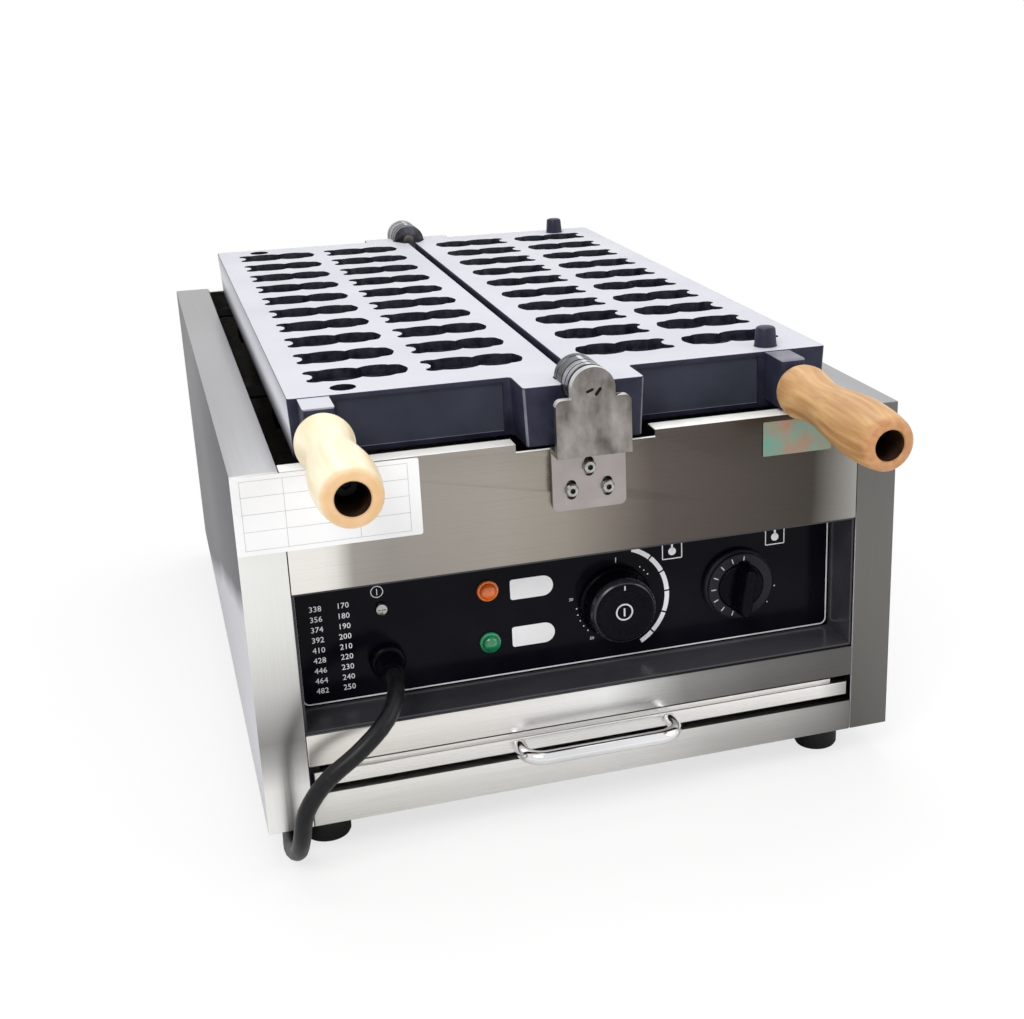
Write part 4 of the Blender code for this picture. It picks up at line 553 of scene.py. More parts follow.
class Shape:
    """A mesh in the making."""

    def __init__(self) -> None:
        """Start with nothing."""
        self.bm = bmesh.new()

    def block(self, xs: Pair, ys: Pair, zs: Pair) -> Shape:
        """Add a box between two values on each axis.

        Args:
            xs: its two X values, in any order.
            ys: its two Y values.
            zs: its two Z values.

        Returns:
            This shape.
        """
        low = Vector([min(pair) for pair in (xs, ys, zs)])
        high = Vector([max(pair) for pair in (xs, ys, zs)])
        place = Matrix.Translation((low + high) / 2) @ Matrix.Diagonal((*(high - low), 1))
        bmesh.ops.create_cube(self.bm, size=1, matrix=place)
        return self

    def rod(self, start: Sequence[float], end: Sequence[float], radius: float, sides: int = 32,
            tip: float | None = None) -> Shape:
        """Add a cylinder, or a cone.

        Args:
            start: the middle of its first end.
            end: the middle of its other end.
            radius: its radius at the start.
            sides: how many sides it has.
            tip: its radius at the end, if that differs.

        Returns:
            This shape.
        """
        first, last = Vector(start), Vector(end)
        place = facing((first + last) / 2, last - first)
        bmesh.ops.create_cone(
            self.bm, cap_ends=True, segments=sides, radius1=radius, radius2=radius if tip is None else tip,
            depth=(last - first).length, matrix=place)
        return self

    def prism(self, corners: Sequence[Sequence[float]], path: Sequence[float]) -> list[bmesh.types.BMVert]:
        """Sweep a flat outline along a straight path.

        Args:
            corners: the outline.
            path: the sweep.

        Returns:
            The far outline's vertices.
        """
        face = self.bm.faces.new([self.bm.verts.new(corner) for corner in corners])
        grown = bmesh.ops.extrude_face_region(self.bm, geom=[face])["geom"]
        moved = [item for item in grown if isinstance(item, bmesh.types.BMVert)]
        bmesh.ops.translate(self.bm, verts=moved, vec=Vector(path))
        return moved

    def stack(self, outlines: Sequence[Sequence[Sequence[float]]]) -> Shape:
        """Join outlines of equal counts into one closed skin.

        Args:
            outlines: the outlines in order.

        Returns:
            This shape.
        """
        rings = [[self.bm.verts.new(point) for point in outline] for outline in outlines]
        count = len(rings[0])
        self.bm.faces.new(list(reversed(rings[0])))
        for low, high in zip(rings, rings[1:]):
            for i in range(count):
                j = (i + 1) % count
                self.bm.faces.new((low[i], low[j], high[j], high[i]))
        self.bm.faces.new(rings[-1])
        return self

    def lathe(self, profile: Sequence[Pair], sides: int = 48, place: Matrix | None = None) -> Shape:
        """Turn a (radius, height) profile round Z.

        Args:
            profile: a closed section, or one that starts and ends on the axis.
            sides: how many sides it has.
            place: where the turned form goes.

        Returns:
            This shape.
        """
        matrix = place or Matrix.Identity(4)
        rings: list[list[bmesh.types.BMVert]] = []
        for radius, height in profile:
            count = 1 if radius == 0 else sides
            turn = math.tau / sides
            rings.append([self.bm.verts.new(matrix @ Vector((
                radius * math.cos(turn * i), radius * math.sin(turn * i), height))) for i in range(count)])
        pairs = list(zip(rings, rings[1:]))
        if profile[0][0] > 0:
            pairs.append((rings[-1], rings[0]))
        for upper, lower in pairs:
            for i in range(sides):
                j = (i + 1) % sides
                loop = [upper[i % len(upper)], upper[j % len(upper)], lower[j % len(lower)],
                        lower[i % len(lower)]]
                unique = list(dict.fromkeys(loop))
                if len(unique) > 2:
                    self.bm.faces.new(unique)
        return self

    def tube(self, points: Sequence[Sequence[float]], radius: float, sides: int = 20) -> Shape:
        """Add a round bar along points.

        Args:
            points: its centre line.
            radius: its radius.
            sides: how many sides it has.

        Returns:
            This shape.
        """
        line = [Vector(point) for point in points]
        normal = Vector((0, 0, 1))
        outlines = []
        for i, point in enumerate(line):
            way = (line[min(i + 1, len(line) - 1)] - line[max(i - 1, 0)]).normalized()
            normal = (normal - way * normal.dot(way)).normalized()
            other = way.cross(normal)
            outlines.append([point + (normal * math.cos(a) + other * math.sin(a)) * radius
                             for a in (math.tau * k / sides for k in range(sides))])
        return self.stack(outlines)

    def round_edges(self, width: float, segments: int = 2, keep: int | None = None) -> Shape:
        """Bevel every edge so far, or those along one axis.

        Args:
            width: the bevel's width.
            segments: its steps.
            keep: the axis whose edges are bevelled, if only one is.

        Returns:
            This shape.
        """
        edges = self.bm.edges[:]
        if keep is not None:
            edges = [e for e in edges
                     if abs((e.verts[0].co - e.verts[1].co).normalized()[keep]) > 0.99]
        self.bevel(edges, width, segments)
        return self

    def bevel(self, edges: Sequence[bmesh.types.BMEdge], width: float, segments: int,
              profile: float = 0.5) -> None:
        """Bevel some edges in steps; a profile of 0.5 is round."""
        bmesh.ops.bevel(self.bm, geom=edges, offset=width, segments=segments, affect="EDGES", profile=profile)

    def mesh(self, name: str) -> bpy.types.Mesh:
        """The finished mesh with its faces turned out.

        Args:
            name: the mesh's name.

        Returns:
            The mesh.
        """
        bmesh.ops.recalc_face_normals(self.bm, faces=self.bm.faces[:])
        mesh = bpy.data.meshes.new(name)
        self.bm.to_mesh(mesh)
        self.bm.free()
        return mesh


def link(name: str, data: bpy.types.ID) -> bpy.types.Object:
    """Put data in the scene as an object."""
    thing = bpy.data.objects.new(name, data)
    bpy.context.scene.collection.objects.link(thing)
    return thing


def tint(piece: bpy.types.Object, finish: Finish, test: Callable[[bpy.types.MeshPolygon], bool]) -> None:
    """Give some of a piece's faces a finish of their own.

    Args:
        piece: the piece.
        finish: the finish.
        test: whether a face gets it.
    """
    index = len(piece.data.materials)
    piece.data.materials.append(finish.material())
    for face in piece.data.polygons:
        if test(face):
            face.material_index = index


def settle(piece: bpy.types.Object) -> None:
    """Turn a piece's modifiers into its mesh."""
    scene_state = bpy.context.evaluated_depsgraph_get()
    scene_state.update()
    old = piece.data
    piece.data = bpy.data.meshes.new_from_object(piece.evaluated_get(scene_state))
    piece.data.name = piece.name
    piece.modifiers.clear()
    bpy.data.meshes.remove(old)


def carve(piece: bpy.types.Object, shape: Shape, operation: str = "DIFFERENCE") -> None:
    """Apply one exact Boolean to a piece.

    Args:
        piece: the piece.
        shape: what is cut out or joined on.
        operation: DIFFERENCE or UNION.
    """
    other = link("shape", shape.mesh("shape"))
    other.matrix_world = piece.matrix_world
    modifier = piece.modifiers.new("carve", "BOOLEAN")
    modifier.operation = operation
    modifier.solver = "EXACT"
    modifier.object = other
    settle(piece)
    bpy.data.objects.remove(other, do_unlink=True)


def soften(piece: bpy.types.Object, width: float, segments: int = 2) -> None:
    """Break a piece's sharp edges.

    Args:
        piece: the piece.
        width: the edge's width.
        segments: its steps.
    """
    modifier = piece.modifiers.new("edges", "BEVEL")
    modifier.width = width
    modifier.segments = segments
    modifier.limit_method = "ANGLE"
    modifier.angle_limit = math.radians(40)
    modifier.use_clamp_overlap = True
    settle(piece)


class Assembly:
    """What each group of pieces can do: make a piece, ride it and report it."""

    body: Body = Body.CASING

    def place(self, name: str, shape: Shape, finish: Finish, matrix: Matrix | None = None) -> bpy.types.Object:
        """Put a shape in the scene as a piece.

        Args:
            name: the piece's name.
            shape: its shape.
            finish: its finish.
            matrix: where its local frame sits.

        Returns:
            The piece.
        """
        piece = link(name, shape.mesh(name))
        piece.data.materials.append(finish.material())
        if matrix is not None:
            piece.matrix_world = matrix
        return piece

    def hand_over(self, piece: bpy.types.Object, slot: str, replaces: Sequence[str] | None = None,
                  body: Body | None = None, sharp: float = 32.0) -> bpy.types.Object:
        """Shade a finished piece, ride it on its body and hide the CAD nodes that it stands for.

        Args:
            piece: the piece.
            slot: the CAD node that it hides, unless replaces is given.
            replaces: the CAD nodes that it hides, if that isn't the slot's own node alone.
            body: its body, if it isn't the assembly's own.
            sharp: the angle from which an edge stays sharp.

        Returns:
            The piece.
        """
        if piece.type == "MESH":
            piece.data.shade_smooth()
            piece.data.set_sharp_from_angle(angle=math.radians(sharp))
        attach(piece, (body or self.body).value)
        hidden = [slot] if replaces is None else replaces
        if hidden:
            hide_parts(*hidden)
        LOG.info("%s rides on %s", piece.name, (body or self.body).value)
        return piece

    def keep(self, node: str, finish: Finish) -> None:
        """Give a CAD node that stays in sight its finish.

        Args:
            node: the node's name.
            finish: its finish.
        """
        piece = FRAME["nodes"][node]
        piece.data.materials.clear()
        piece.data.materials.append(finish.material())
        LOG.info("%s keeps its CAD shape", node)


FRAME: dict = {}


@dataclass
class Studio:
    """Camera, floor, lamps and world."""

    eye: Point = (-0.2217, -0.9662, 0.4600)
    target: Point = (0.0631, -0.1150, 0.1430)
    roll: float = -0.0191
    lens: float = 53.365
    sensor: float = 36.0
    shift_x: float = -0.1250
    floor_half: float = 6.0
    floor_fade: Pair = (0.45, 1.3)
    floor_share: Pair = (0.70, 1.0)
    world_share: float = 0.62
    lamp_aim: Point = (0.0, 0.0, 0.15)
    lamps: tuple[tuple[str, Point, float, float], ...] = (
        ("key", (-1.1, -1.5, 1.9), 1.3, 26.0),
        ("fill", (1.6, -1.0, 1.1), 1.4, 9.0),
        ("top", (0.1, 0.5, 1.9), 1.5, 14.0),
    )

    def build(self) -> None:
        """Set up everything that isn't the object."""
        self.build_camera()
        self.build_floor()
        self.build_world()
        for name, spot, size, power in self.lamps:
            self.build_lamp(name, spot, size, power)
        bpy.context.scene.view_settings.view_transform = "Standard"

    def build_camera(self) -> None:
        """Place the camera where the photograph was taken from."""
        data = bpy.data.cameras.new("camera")
        data.lens = self.lens
        data.sensor_width = self.sensor
        data.shift_x = self.shift_x
        data.clip_start = 0.01
        camera = link("camera", data)
        forward = (Vector(self.target) - Vector(self.eye)).normalized()
        right = forward.cross(Vector((0, 0, 1))).normalized()
        up = right.cross(forward)
        c, s = math.cos(self.roll), math.sin(self.roll)
        axes = (right * c + up * s, up * c - right * s, -forward)
        turn = Matrix([[axis[i] for axis in axes] for i in range(3)])
        camera.matrix_world = Matrix.Translation(self.eye) @ turn.to_4x4()
        bpy.context.scene.camera = camera

    def build_floor(self) -> None:
        """Lay a pale floor that keeps the object's shadow and fades into the white of the world."""
        half = self.floor_half
        mesh = bpy.data.meshes.new("floor")
        mesh.from_pydata([(-half, -half, 0), (half, -half, 0), (half, half, 0), (-half, half, 0)], [],
                         [(0, 1, 2, 3)])
        floor = link("floor", mesh)
        tree = MaterialTree("pale_floor")
        tree.set(Base_Color=(0.90, 0.90, 0.90, 1.0), Roughness=0.8)
        output = tree.nodes["Material Output"]
        light = tree.add("LightPath")
        glow = tree.add("Emission", Color=(1.0, 1.0, 1.0, 1.0))
        blend = tree.add("MixShader")
        place = tree.add("TexCoord")
        reach = tree.add("VectorMath", operation="LENGTH")
        tree.join(place.outputs["Object"], reach.inputs[0])
        share = tree.add("Math", operation="MULTIPLY")
        tree.join(tree.span(reach.outputs["Value"], self.floor_fade, self.floor_share), share.inputs[0])
        tree.join(light.outputs["Is Camera Ray"], share.inputs[1])
        tree.join(share.outputs["Value"], blend.inputs["Fac"])
        tree.join(tree.shader.outputs["BSDF"], blend.inputs[1])
        tree.join(glow.outputs["Emission"], blend.inputs[2])
        tree.join(blend.outputs["Shader"], output.inputs["Surface"])
        floor.data.materials.append(tree.material)

    def build_world(self) -> None:
        """A world that looks white and lights the object plainly."""
        world = bpy.data.worlds.new("studio")
        world.use_nodes = True
        bpy.context.scene.world = world
        tree = world.node_tree
        background = tree.nodes["Background"]
        background.inputs["Color"].default_value = (1.0, 1.0, 1.0, 1.0)
        light = tree.nodes.new("ShaderNodeLightPath")
        seen = light.outputs["Is Camera Ray"]
        for ray in ("Is Glossy Ray", "Is Transmission Ray"):
            most = tree.nodes.new("ShaderNodeMath")
            most.operation = "MAXIMUM"
            tree.links.new(seen, most.inputs[0])
            tree.links.new(light.outputs[ray], most.inputs[1])
            seen = most.outputs["Value"]
        level = tree.nodes.new("ShaderNodeMapRange")
        level.inputs["To Min"].default_value = self.world_share
        level.inputs["To Max"].default_value = 1.0
        tree.links.new(seen, level.inputs["Value"])
        tree.links.new(level.outputs["Result"], background.inputs["Strength"])

    def build_lamp(self, name: str, spot: Point, size: float, power: float) -> None:
        """Hang one soft lamp.

        Args:
            name: its name.
            spot: where it hangs.
            size: its width.
            power: its power, in watts.
        """
        data = bpy.data.lights.new(name, "AREA")
        data.shape = "DISK"
        data.size = size
        data.energy = power
        lamp = link(name, data)
        lamp.matrix_world = facing(spot, Vector(spot) - Vector(self.lamp_aim))


@dataclass
class Casing(Assembly):
    """Steel covers, front plates, rails, feet and what lies inside."""

    half_width: float = 0.1875
    front: float = FRONT
    rear: float = REAR
    bottom: float = 0.020
    top: float = CASE_TOP
    sheet: float = 0.0015
    edge_flange: float = 0.0247
    inner_flange: float = 0.012
    fold: float = 0.0006
    notch_half: float = 0.039
    notch_depth: float = 0.0042
    fascia_bottom: float = 0.1578
    lower_plate: Pair = (0.0567, 0.0756)
    rail_top: float = 0.0395
    foot_x: float = 0.153
    foot_ys: Pair = (-0.187, 0.273)
    screw_places: tuple[Pair, ...] = BRACKET_SCREWS
    screw_radius: float = 0.0022

    def build(self) -> None:
        """Make the casing."""
        for side in Side:
            self.build_cover(side)
        self.build_fronts()
        self.build_feet()
        self.build_labels()
        for node in ("base_pan", "tray_runner_left", "tray_runner_right"):
            self.keep(node, COVER_STEEL)
        # The inner shield and rails are painted near black, as shade inside the casing.
        for node in ("heat_shield", "cross_rail_front", "cross_rail_rear"):
            self.keep(node, SHADED_INNER_STEEL)
        for node in ("heater_left", "heater_right"):
            self.keep(node, HEATER)
        self.keep("terminal_block", CERAMIC)
        for node in ("thermostat", "timer"):
            self.keep(node, KNOB_PLASTIC)

    def pan(self, name: str, xs: Pair, ys: Pair, zs: Pair, open_way: Point, finish: Finish) -> bpy.types.Object:
        """A folded sheet: an open box whose walls grow inwards.

        Args:
            name: the piece's name.
            xs: its X span.
            ys: its Y span.
            zs: its Z span.
            open_way: the side that is open.
            finish: its finish.

        Returns:
            The piece.
        """
        shape = Shape().block(xs, ys, zs)
        bmesh.ops.recalc_face_normals(shape.bm, faces=shape.bm.faces[:])
        lid = [face for face in shape.bm.faces if face.normal.dot(Vector(open_way)) > 0.5]
        bmesh.ops.delete(shape.bm, geom=lid, context="FACES")
        mesh = bpy.data.meshes.new(name)
        shape.bm.to_mesh(mesh)
        shape.bm.free()
        mesh.materials.append(finish.material())
        piece = link(name, mesh)
        wall = piece.modifiers.new("sheet", "SOLIDIFY")
        wall.thickness = self.sheet
        wall.offset = -1
        wall.use_even_offset = True
        settle(piece)
        return piece

    def build_cover(self, side: Side) -> None:
        """A side cover: its flanges make the front post and the top border.

        Args:
            side: left or right.
        """
        s = side.value
        cover = self.pan(
            f"{side.word}_side_cover", (s * self.half_width, s * (self.half_width - self.edge_flange)),
            (self.front, self.rear), (self.bottom, self.top), (-s, 0, 0), COVER_STEEL)
        soften(cover, self.fold)
        # Painted light and shade: a lit copy of the post steel on the left, a shaded copy on the right, and a painted
        # ramp on the side faces.
        tint(cover, LIT_LEFT_POST if side is Side.LEFT else SHADED_RIGHT_POST, lambda face: abs(face.normal.y) > 0.5)
        tint(cover, SIDE_STEEL, lambda face: abs(face.normal.x) > 0.5 >= abs(face.normal.y))
        self.hand_over(cover, f"side_cover_{side.word}")

    def build_fronts(self) -> None:
        """Fascia, lower plate, bottom rail and rear panel."""
        inner = self.half_width - self.edge_flange - FIT
        front = (self.front, self.front + self.inner_flange)
        rear = (self.rear - self.inner_flange, self.rear)
        rows = (
            ("front_fascia", front, (self.fascia_bottom, self.top), 1, FASCIA_STEEL),
            ("lower_front_plate", front, self.lower_plate, 1, PANEL_STEEL),
            ("bottom_rail", front, (self.bottom, self.rail_top), 1, RAIL_STEEL),
            ("rear_panel", rear, (self.bottom, self.top), -1, FASCIA_STEEL),
        )
        for node, ys, zs, way, finish in rows:
            sheet = self.pan(f"{node}_sheet", (-inner, inner), ys, zs, (0, way, 0), finish)
            if finish is FASCIA_STEEL:
                self.cut_for_bracket(sheet, ys)
                soften(sheet, self.fold * 1.5)
                # Painted highlight on the top fold and the notch's floor.
                tint(sheet, FOLD_HIGHLIGHT, self.on_top_fold)
            else:
                soften(sheet, self.fold)
            self.hand_over(sheet, node)

    def on_top_fold(self, face: bpy.types.MeshPolygon) -> bool:
        """Whether a face lies on a sheet's top edge or on the notch's floor."""
        drop = min(abs(face.center.z - z) for z in (self.top, self.top - self.notch_depth))
        return face.normal.z > 0.2 and drop < 2 * self.fold

    def cut_for_bracket(self, sheet: bpy.types.Object, ys: Pair) -> None:
        """Clear the moulds' bosses at a sheet's top edge and drill for the bracket.

        Args:
            sheet: the sheet.
            ys: its Y span.
        """
        low, high = min(ys) - OVERRUN, max(ys) + OVERRUN
        notch = Shape().block((-self.notch_half, self.notch_half), (low, high),
                              (self.top - self.notch_depth, self.top + OVERRUN))
        carve(sheet, notch)
        for x, z in self.screw_places:
            carve(sheet, Shape().rod((x, low, z), (x, high, z), self.screw_radius + FIT, 16))

    def build_feet(self) -> None:
        """Rubber feet, ribbed round the rim and hollow below."""
        top = self.bottom - FIT
        profile = [
            (0, 0.0293), (0.0030, 0.0293), (0.0030, top), (0.0132, top), (0.0140, top - 0.0008),
            (0.0137, 0.0120), (0.0131, 0.0112), (0.0131, 0.0014), (0.0123, 0.0), (0.0080, 0.0),
            (0.0080, 0.0060), (0, 0.0060)]
        for label, y in zip(("front", "rear"), self.foot_ys):
            for side in Side:
                name = f"{label}_{side.word}"
                place = Matrix.Translation((side.value * self.foot_x, y, 0))
                foot = self.place(f"rubber_foot_{name}", Shape().lathe(profile, 48), RUBBER, place)
                self.hand_over(foot, f"foot_{name}")

    def build_labels(self) -> None:
        """A blank rating plate with ruled boxes, and a blank seal."""
        thick, width = 0.0004, 0.00028
        face = self.front - FIT - thick
        ys, ink = (self.front - FIT, face), (face + 0.0001, face - 0.00004)
        xs, zs = (-0.1873, -0.0915), (0.1827, 0.2250)
        rules = Shape()
        for share in (0.06, 0.30, 0.52, 0.74, 0.94):
            z = zs[0] + (zs[1] - zs[0]) * share
            rules.block((xs[0] + 0.004, xs[1] - 0.006), ink, (z, z + width))
        for share in (0.045, 0.27, 0.66, 0.935):
            x = xs[0] + (xs[1] - xs[0]) * share
            rules.block((x, x + width), ink, (zs[0] + 0.0026, zs[1] - 0.0026))
        plate = Shape().block(xs, ys, zs).round_edges(0.0012, 3, keep=1)
        seal = Shape().block((0.1030, 0.1450), ys, (0.2022, 0.2222)).round_edges(0.0006, 2, keep=1)
        for name, shape, finish in (("blank_rating_plate", plate, PLATE_WHITE),
                                    ("rating_plate_ruling", rules, PLATE_LINE), ("blank_seal", seal, SEAL)):
            self.hand_over(self.place(name, shape, finish), "front_fascia", ())


@dataclass
class ControlPanel(Assembly):
    """The recess with its printed overlay, lamps, knobs, earth screw and cable gland."""

    face: float = -0.1835
    lamp_x: float = -0.052
    lamps: tuple[tuple[str, float], ...] = (("orange", 0.1320), ("green", 0.1001))
    temperature: Pair = (0.0235, 0.1142)
    timer: Pair = (0.1005, 0.1142)
    lean: float = 0.16
    gland: Pair = (-0.1115, 0.0996)
    earth: Pair = (-0.1124, 0.1304)
    ink: float = 0.00008
    shaft_radius: float = 0.0030
    knob_gap: float = 0.0006

    def build(self) -> None:
        """Make the recess and everything on it."""
        self.keep("control_recess", RECESS_GLOSS)
        self.keep("panel_overlay", GLOSS_PANEL)
        self.build_print()
        self.build_numbers()
        self.build_lamps()
        self.build_temperature_knob()
        self.build_timer_knob()
        self.build_gland()
        for node in ("temperature_shaft", "timer_shaft"):
            self.keep(node, PLAIN_STEEL)

    def seat(self, spot: Pair, gap: float = FIT) -> Matrix:
        """A placement on the panel's face, with Z out of it."""
        return facing((spot[0], self.face - gap, spot[1]), (0, -1, 0))

    def ink_block(self, shape: Shape, xs: Pair, zs: Pair) -> None:
        """Add one flat patch of print between two values of X and two of Z."""
        shape.block(xs, (self.face + self.ink, self.face - self.ink), zs)

    def ink_outline(self, shape: Shape, corners: Sequence[Pair]) -> None:
        """Add one patch of print with (x, z) corners."""
        shape.prism([(x, self.face + self.ink, z) for x, z in corners], (0, -2 * self.ink, 0))

    def build_print(self) -> None:
        """Pinstripe, blank tabs, the temperature scale's arc and the dial marks."""
        shape = Shape()
        self.ink_band(shape, self.pinstripe(0.0), self.pinstripe(0.0008))
        quarter, left, right, radius, corner = math.pi / 2, -0.0388, -0.0196, 0.0062, 0.0015
        for z in (0.1301, 0.1008):
            round_end = arc((right, z), radius, -quarter, quarter, 12)
            left_end = (arc((left + corner, z + (radius - corner)), corner, quarter, math.pi, 4)
                        + arc((left + corner, z - (radius - corner)), corner, math.pi, 3 * quarter, 4))
            self.ink_outline(shape, round_end + left_end)
        self.add_temperature_scale(shape)
        self.add_timer_scale(shape)
        x, line = self.earth[0] - 0.0017, 0.0004
        self.add_ring(shape, (x, 0.1405), 0.0035, line)
        self.ink_block(shape, (x - line / 2, x + line / 2), (0.1385, 0.1423))
        self.hand_over(self.place("panel_print", shape, PRINT_WHITE), "panel_overlay", ())

    def pinstripe(self, inset: float) -> list[Pair]:
        """One edge of the pinstripe, which runs down, along the foot and up again.

        Args:
            inset: how far the edge lies inside the stripe's outer one.

        Returns:
            The edge's (x, z) points.
        """
        left, right, bottom, top, corner = -0.1597, 0.1600, 0.0781, 0.1560, 0.0040
        low, radius = bottom + corner, corner - inset
        return [(left + inset, top), *arc((left + corner, low), radius, math.pi, 1.5 * math.pi, 8),
                *arc((right - corner, low), radius, 1.5 * math.pi, math.tau, 8), (right - inset, top)]

    def ink_band(self, shape: Shape, outer: Sequence[Pair], inner: Sequence[Pair]) -> None:
        """Print what lies between two lines of equal counts."""
        for patch in band(outer, inner):
            self.ink_outline(shape, patch)

    def add_ring(self, shape: Shape, centre: Pair, radius: float, width: float) -> None:
        """Print a ring with an outer radius and a width."""
        self.ink_band(shape, arc(centre, radius, 0, math.tau, 32), arc(centre, radius - width, 0, math.tau, 32))

    def add_temperature_scale(self, shape: Shape) -> None:
        """A broken white arc to the right of the temperature knob, and dots to its left.

        Args:
            shape: the print so far.
        """
        x, z = self.temperature
        bounds, half_gap, outer, inner = (71, 47, 26, 3, -21, -45, -62), 0.9, 0.0338, 0.0310
        for start, end in zip(bounds, bounds[1:]):
            high, low = math.radians(start - half_gap), math.radians(end + half_gap)
            self.ink_band(shape, arc((x, z), outer, high, low, 8), arc((x, z), inner, high, low, 8))
        for radius, angles in ((0.0234, range(184, 234, 10)), (0.0247, (50, 42, 34))):
            for degrees in angles:
                self.add_dot(shape, (x, z), radius, degrees)
        self.ink_block(shape, (x + 0.0010, x + 0.0014), (z + 0.0236, z + 0.0268))

    def add_dot(self, shape: Shape, centre: Pair, radius: float, degrees: float) -> None:
        """Print one dot of a dial's scale, at a distance and an angle from the dial's centre."""
        a = math.radians(degrees)
        spot = (centre[0] + radius * math.cos(a), centre[1] + radius * math.sin(a))
        self.ink_outline(shape, arc(spot, 0.00042, 0, math.tau, 8)[:-1])

    def add_timer_scale(self, shape: Shape) -> None:
        """Dots beside the timer's dial, and a plain frame over each dial.

        Args:
            shape: the print so far.
        """
        for degrees in (-38, -13, 95):
            self.add_dot(shape, self.timer, 0.0310 if degrees > 0 else 0.0252, degrees)
        foot, half, line, dot, stem = 0.1352, 0.0060, 0.0003, 0.0024, 0.0006
        for x in (0.0595, 0.1250):
            for post in (x - half, x + half):
                self.ink_block(shape, (post - line, post + line), (foot + line, 0.1460))
            self.ink_block(shape, (x - half, x + half), (foot, foot + 2 * line))
            self.add_ring(shape, (x, foot + 0.0048), dot, dot)
            self.ink_block(shape, (x - stem, x + stem), (foot + 0.0060, foot + 0.0096))

    def build_numbers(self) -> None:
        """Two plain columns of temperatures, in both scales."""
        top, pitch, rows, large, small, dial = 0.13375, 0.006156, 9, 0.0047, 0.0026, 0.0268
        shape = Shape()
        for x, first, step in ((-0.1483, 338, 18), (-0.1333, 170, 10)):
            for row in range(rows):
                self.add_number(shape, str(first + step * row), (x, top - pitch * row), large)
        x, z = self.temperature
        for degrees, number in ((172, "30"), (237, "50")):
            a = math.radians(degrees)
            self.add_number(shape, number, (x + dial * math.cos(a), z + dial * math.sin(a)), small)
        self.hand_over(self.place("panel_numbers", shape, PRINT_WHITE), "panel_overlay", ())

    def add_number(self, shape: Shape, text: str, centre: Pair, size: float) -> None:
        """Print one plain number.

        Args:
            shape: the print so far.
            text: its digits.
            centre: the (x, z) point that it stands on.
            size: the letter size.
        """
        data = bpy.data.curves.new("number", "FONT")
        data.body = text
        data.size = size
        data.align_x = "CENTER"
        data.resolution_u = 2
        data.extrude = self.ink
        glyphs = link("number", data)
        bpy.context.view_layer.update()
        mesh = bpy.data.meshes.new_from_object(glyphs.evaluated_get(bpy.context.evaluated_depsgraph_get()))
        place = Matrix.Translation((centre[0], self.face, centre[1])) @ Matrix.Rotation(math.pi / 2, 4, "X")
        mesh.transform(place)
        shape.bm.from_mesh(mesh)
        bpy.data.meshes.remove(mesh)
        bpy.data.objects.remove(glyphs, do_unlink=True)
        bpy.data.curves.remove(data)

    def build_lamps(self) -> None:
        """Two pilot lamps with domed lenses."""
        profile = [(0, 0.0052)]
        profile += [(0.0050 * math.sin(a), 0.0016 + 0.0036 * math.cos(a))
                    for a in (math.radians(d) for d in range(10, 91, 10))]
        profile += [(0.0050, 0.0018), (0.0058, 0.0017), (0.0062, 0.0012), (0.0062, 0.0), (0.0050, 0.0),
                    (0.0050, -0.0200), (0, -0.0200)]
        for name, z in self.lamps:
            finish = ORANGE_LENS if name == "orange" else GREEN_LENS
            lamp = self.place(f"{name}_pilot_lamp", Shape().lathe(profile, 48), finish,
                              self.seat((self.lamp_x, z)))
            self.hand_over(lamp, f"lamp_{name}", sharp=50)

    def build_temperature_knob(self) -> None:
        """A round knob with a skirt, a dished face and a plain mark."""
        x, z = self.temperature
        socket = self.shaft_radius + FIT
        profile = [
            (0, 0.0176), (0.0090, 0.0177), (0.0118, 0.0181), (0.0134, 0.0188), (0.0148, 0.0194),
            (0.0162, 0.0195), (0.0176, 0.0190), (0.0187, 0.0180), (0.0194, 0.0164), (0.0197, 0.0146),
            (0.0203, 0.0050), (0.0206, 0.0040), (0.0213, 0.0035), (0.0219, 0.0028), (0.0220, 0.0018),
            (0.0220, 0.0),
            (socket, 0.0), (socket, 0.0123), (0, 0.0123)]
        seat = self.face - self.knob_gap
        knob = self.place("temperature_knob_cap", Shape().lathe(profile, 96), KNOB_PLASTIC,
                          self.seat(self.temperature, self.knob_gap))
        inner, outer, low = 0.0172, 0.0196, 0.0148
        # Painted highlight on the rounded rim.
        tint(knob, KNOB_RIM_HIGHLIGHT, lambda face: face.center.z > low
             and inner < math.hypot(face.center.x, face.center.y) < outer)
        self.hand_over(knob, "temperature_knob", body=Body.TEMPERATURE)
        mark = Shape()
        dish, rim = seat - 0.0177, seat - 0.0194
        for patch in band(arc((x, z), 0.0052, 0, math.tau, 32), arc((x, z), 0.0043, 0, math.tau, 32)):
            mark.prism([(px, dish, pz) for px, pz in patch], (0, -2 * self.ink, 0))
        mark.block((x - 0.0005, x + 0.0005), (dish, dish - 2 * self.ink), (z - 0.0026, z + 0.0024))
        mark.block((x - 0.0004, x + 0.0004), (rim, rim - 3 * self.ink), (z + 0.0142, z + 0.0168))
        self.hand_over(self.place("temperature_knob_mark", mark, PRINT_GREY), "temperature_knob", (),
                       Body.TEMPERATURE)

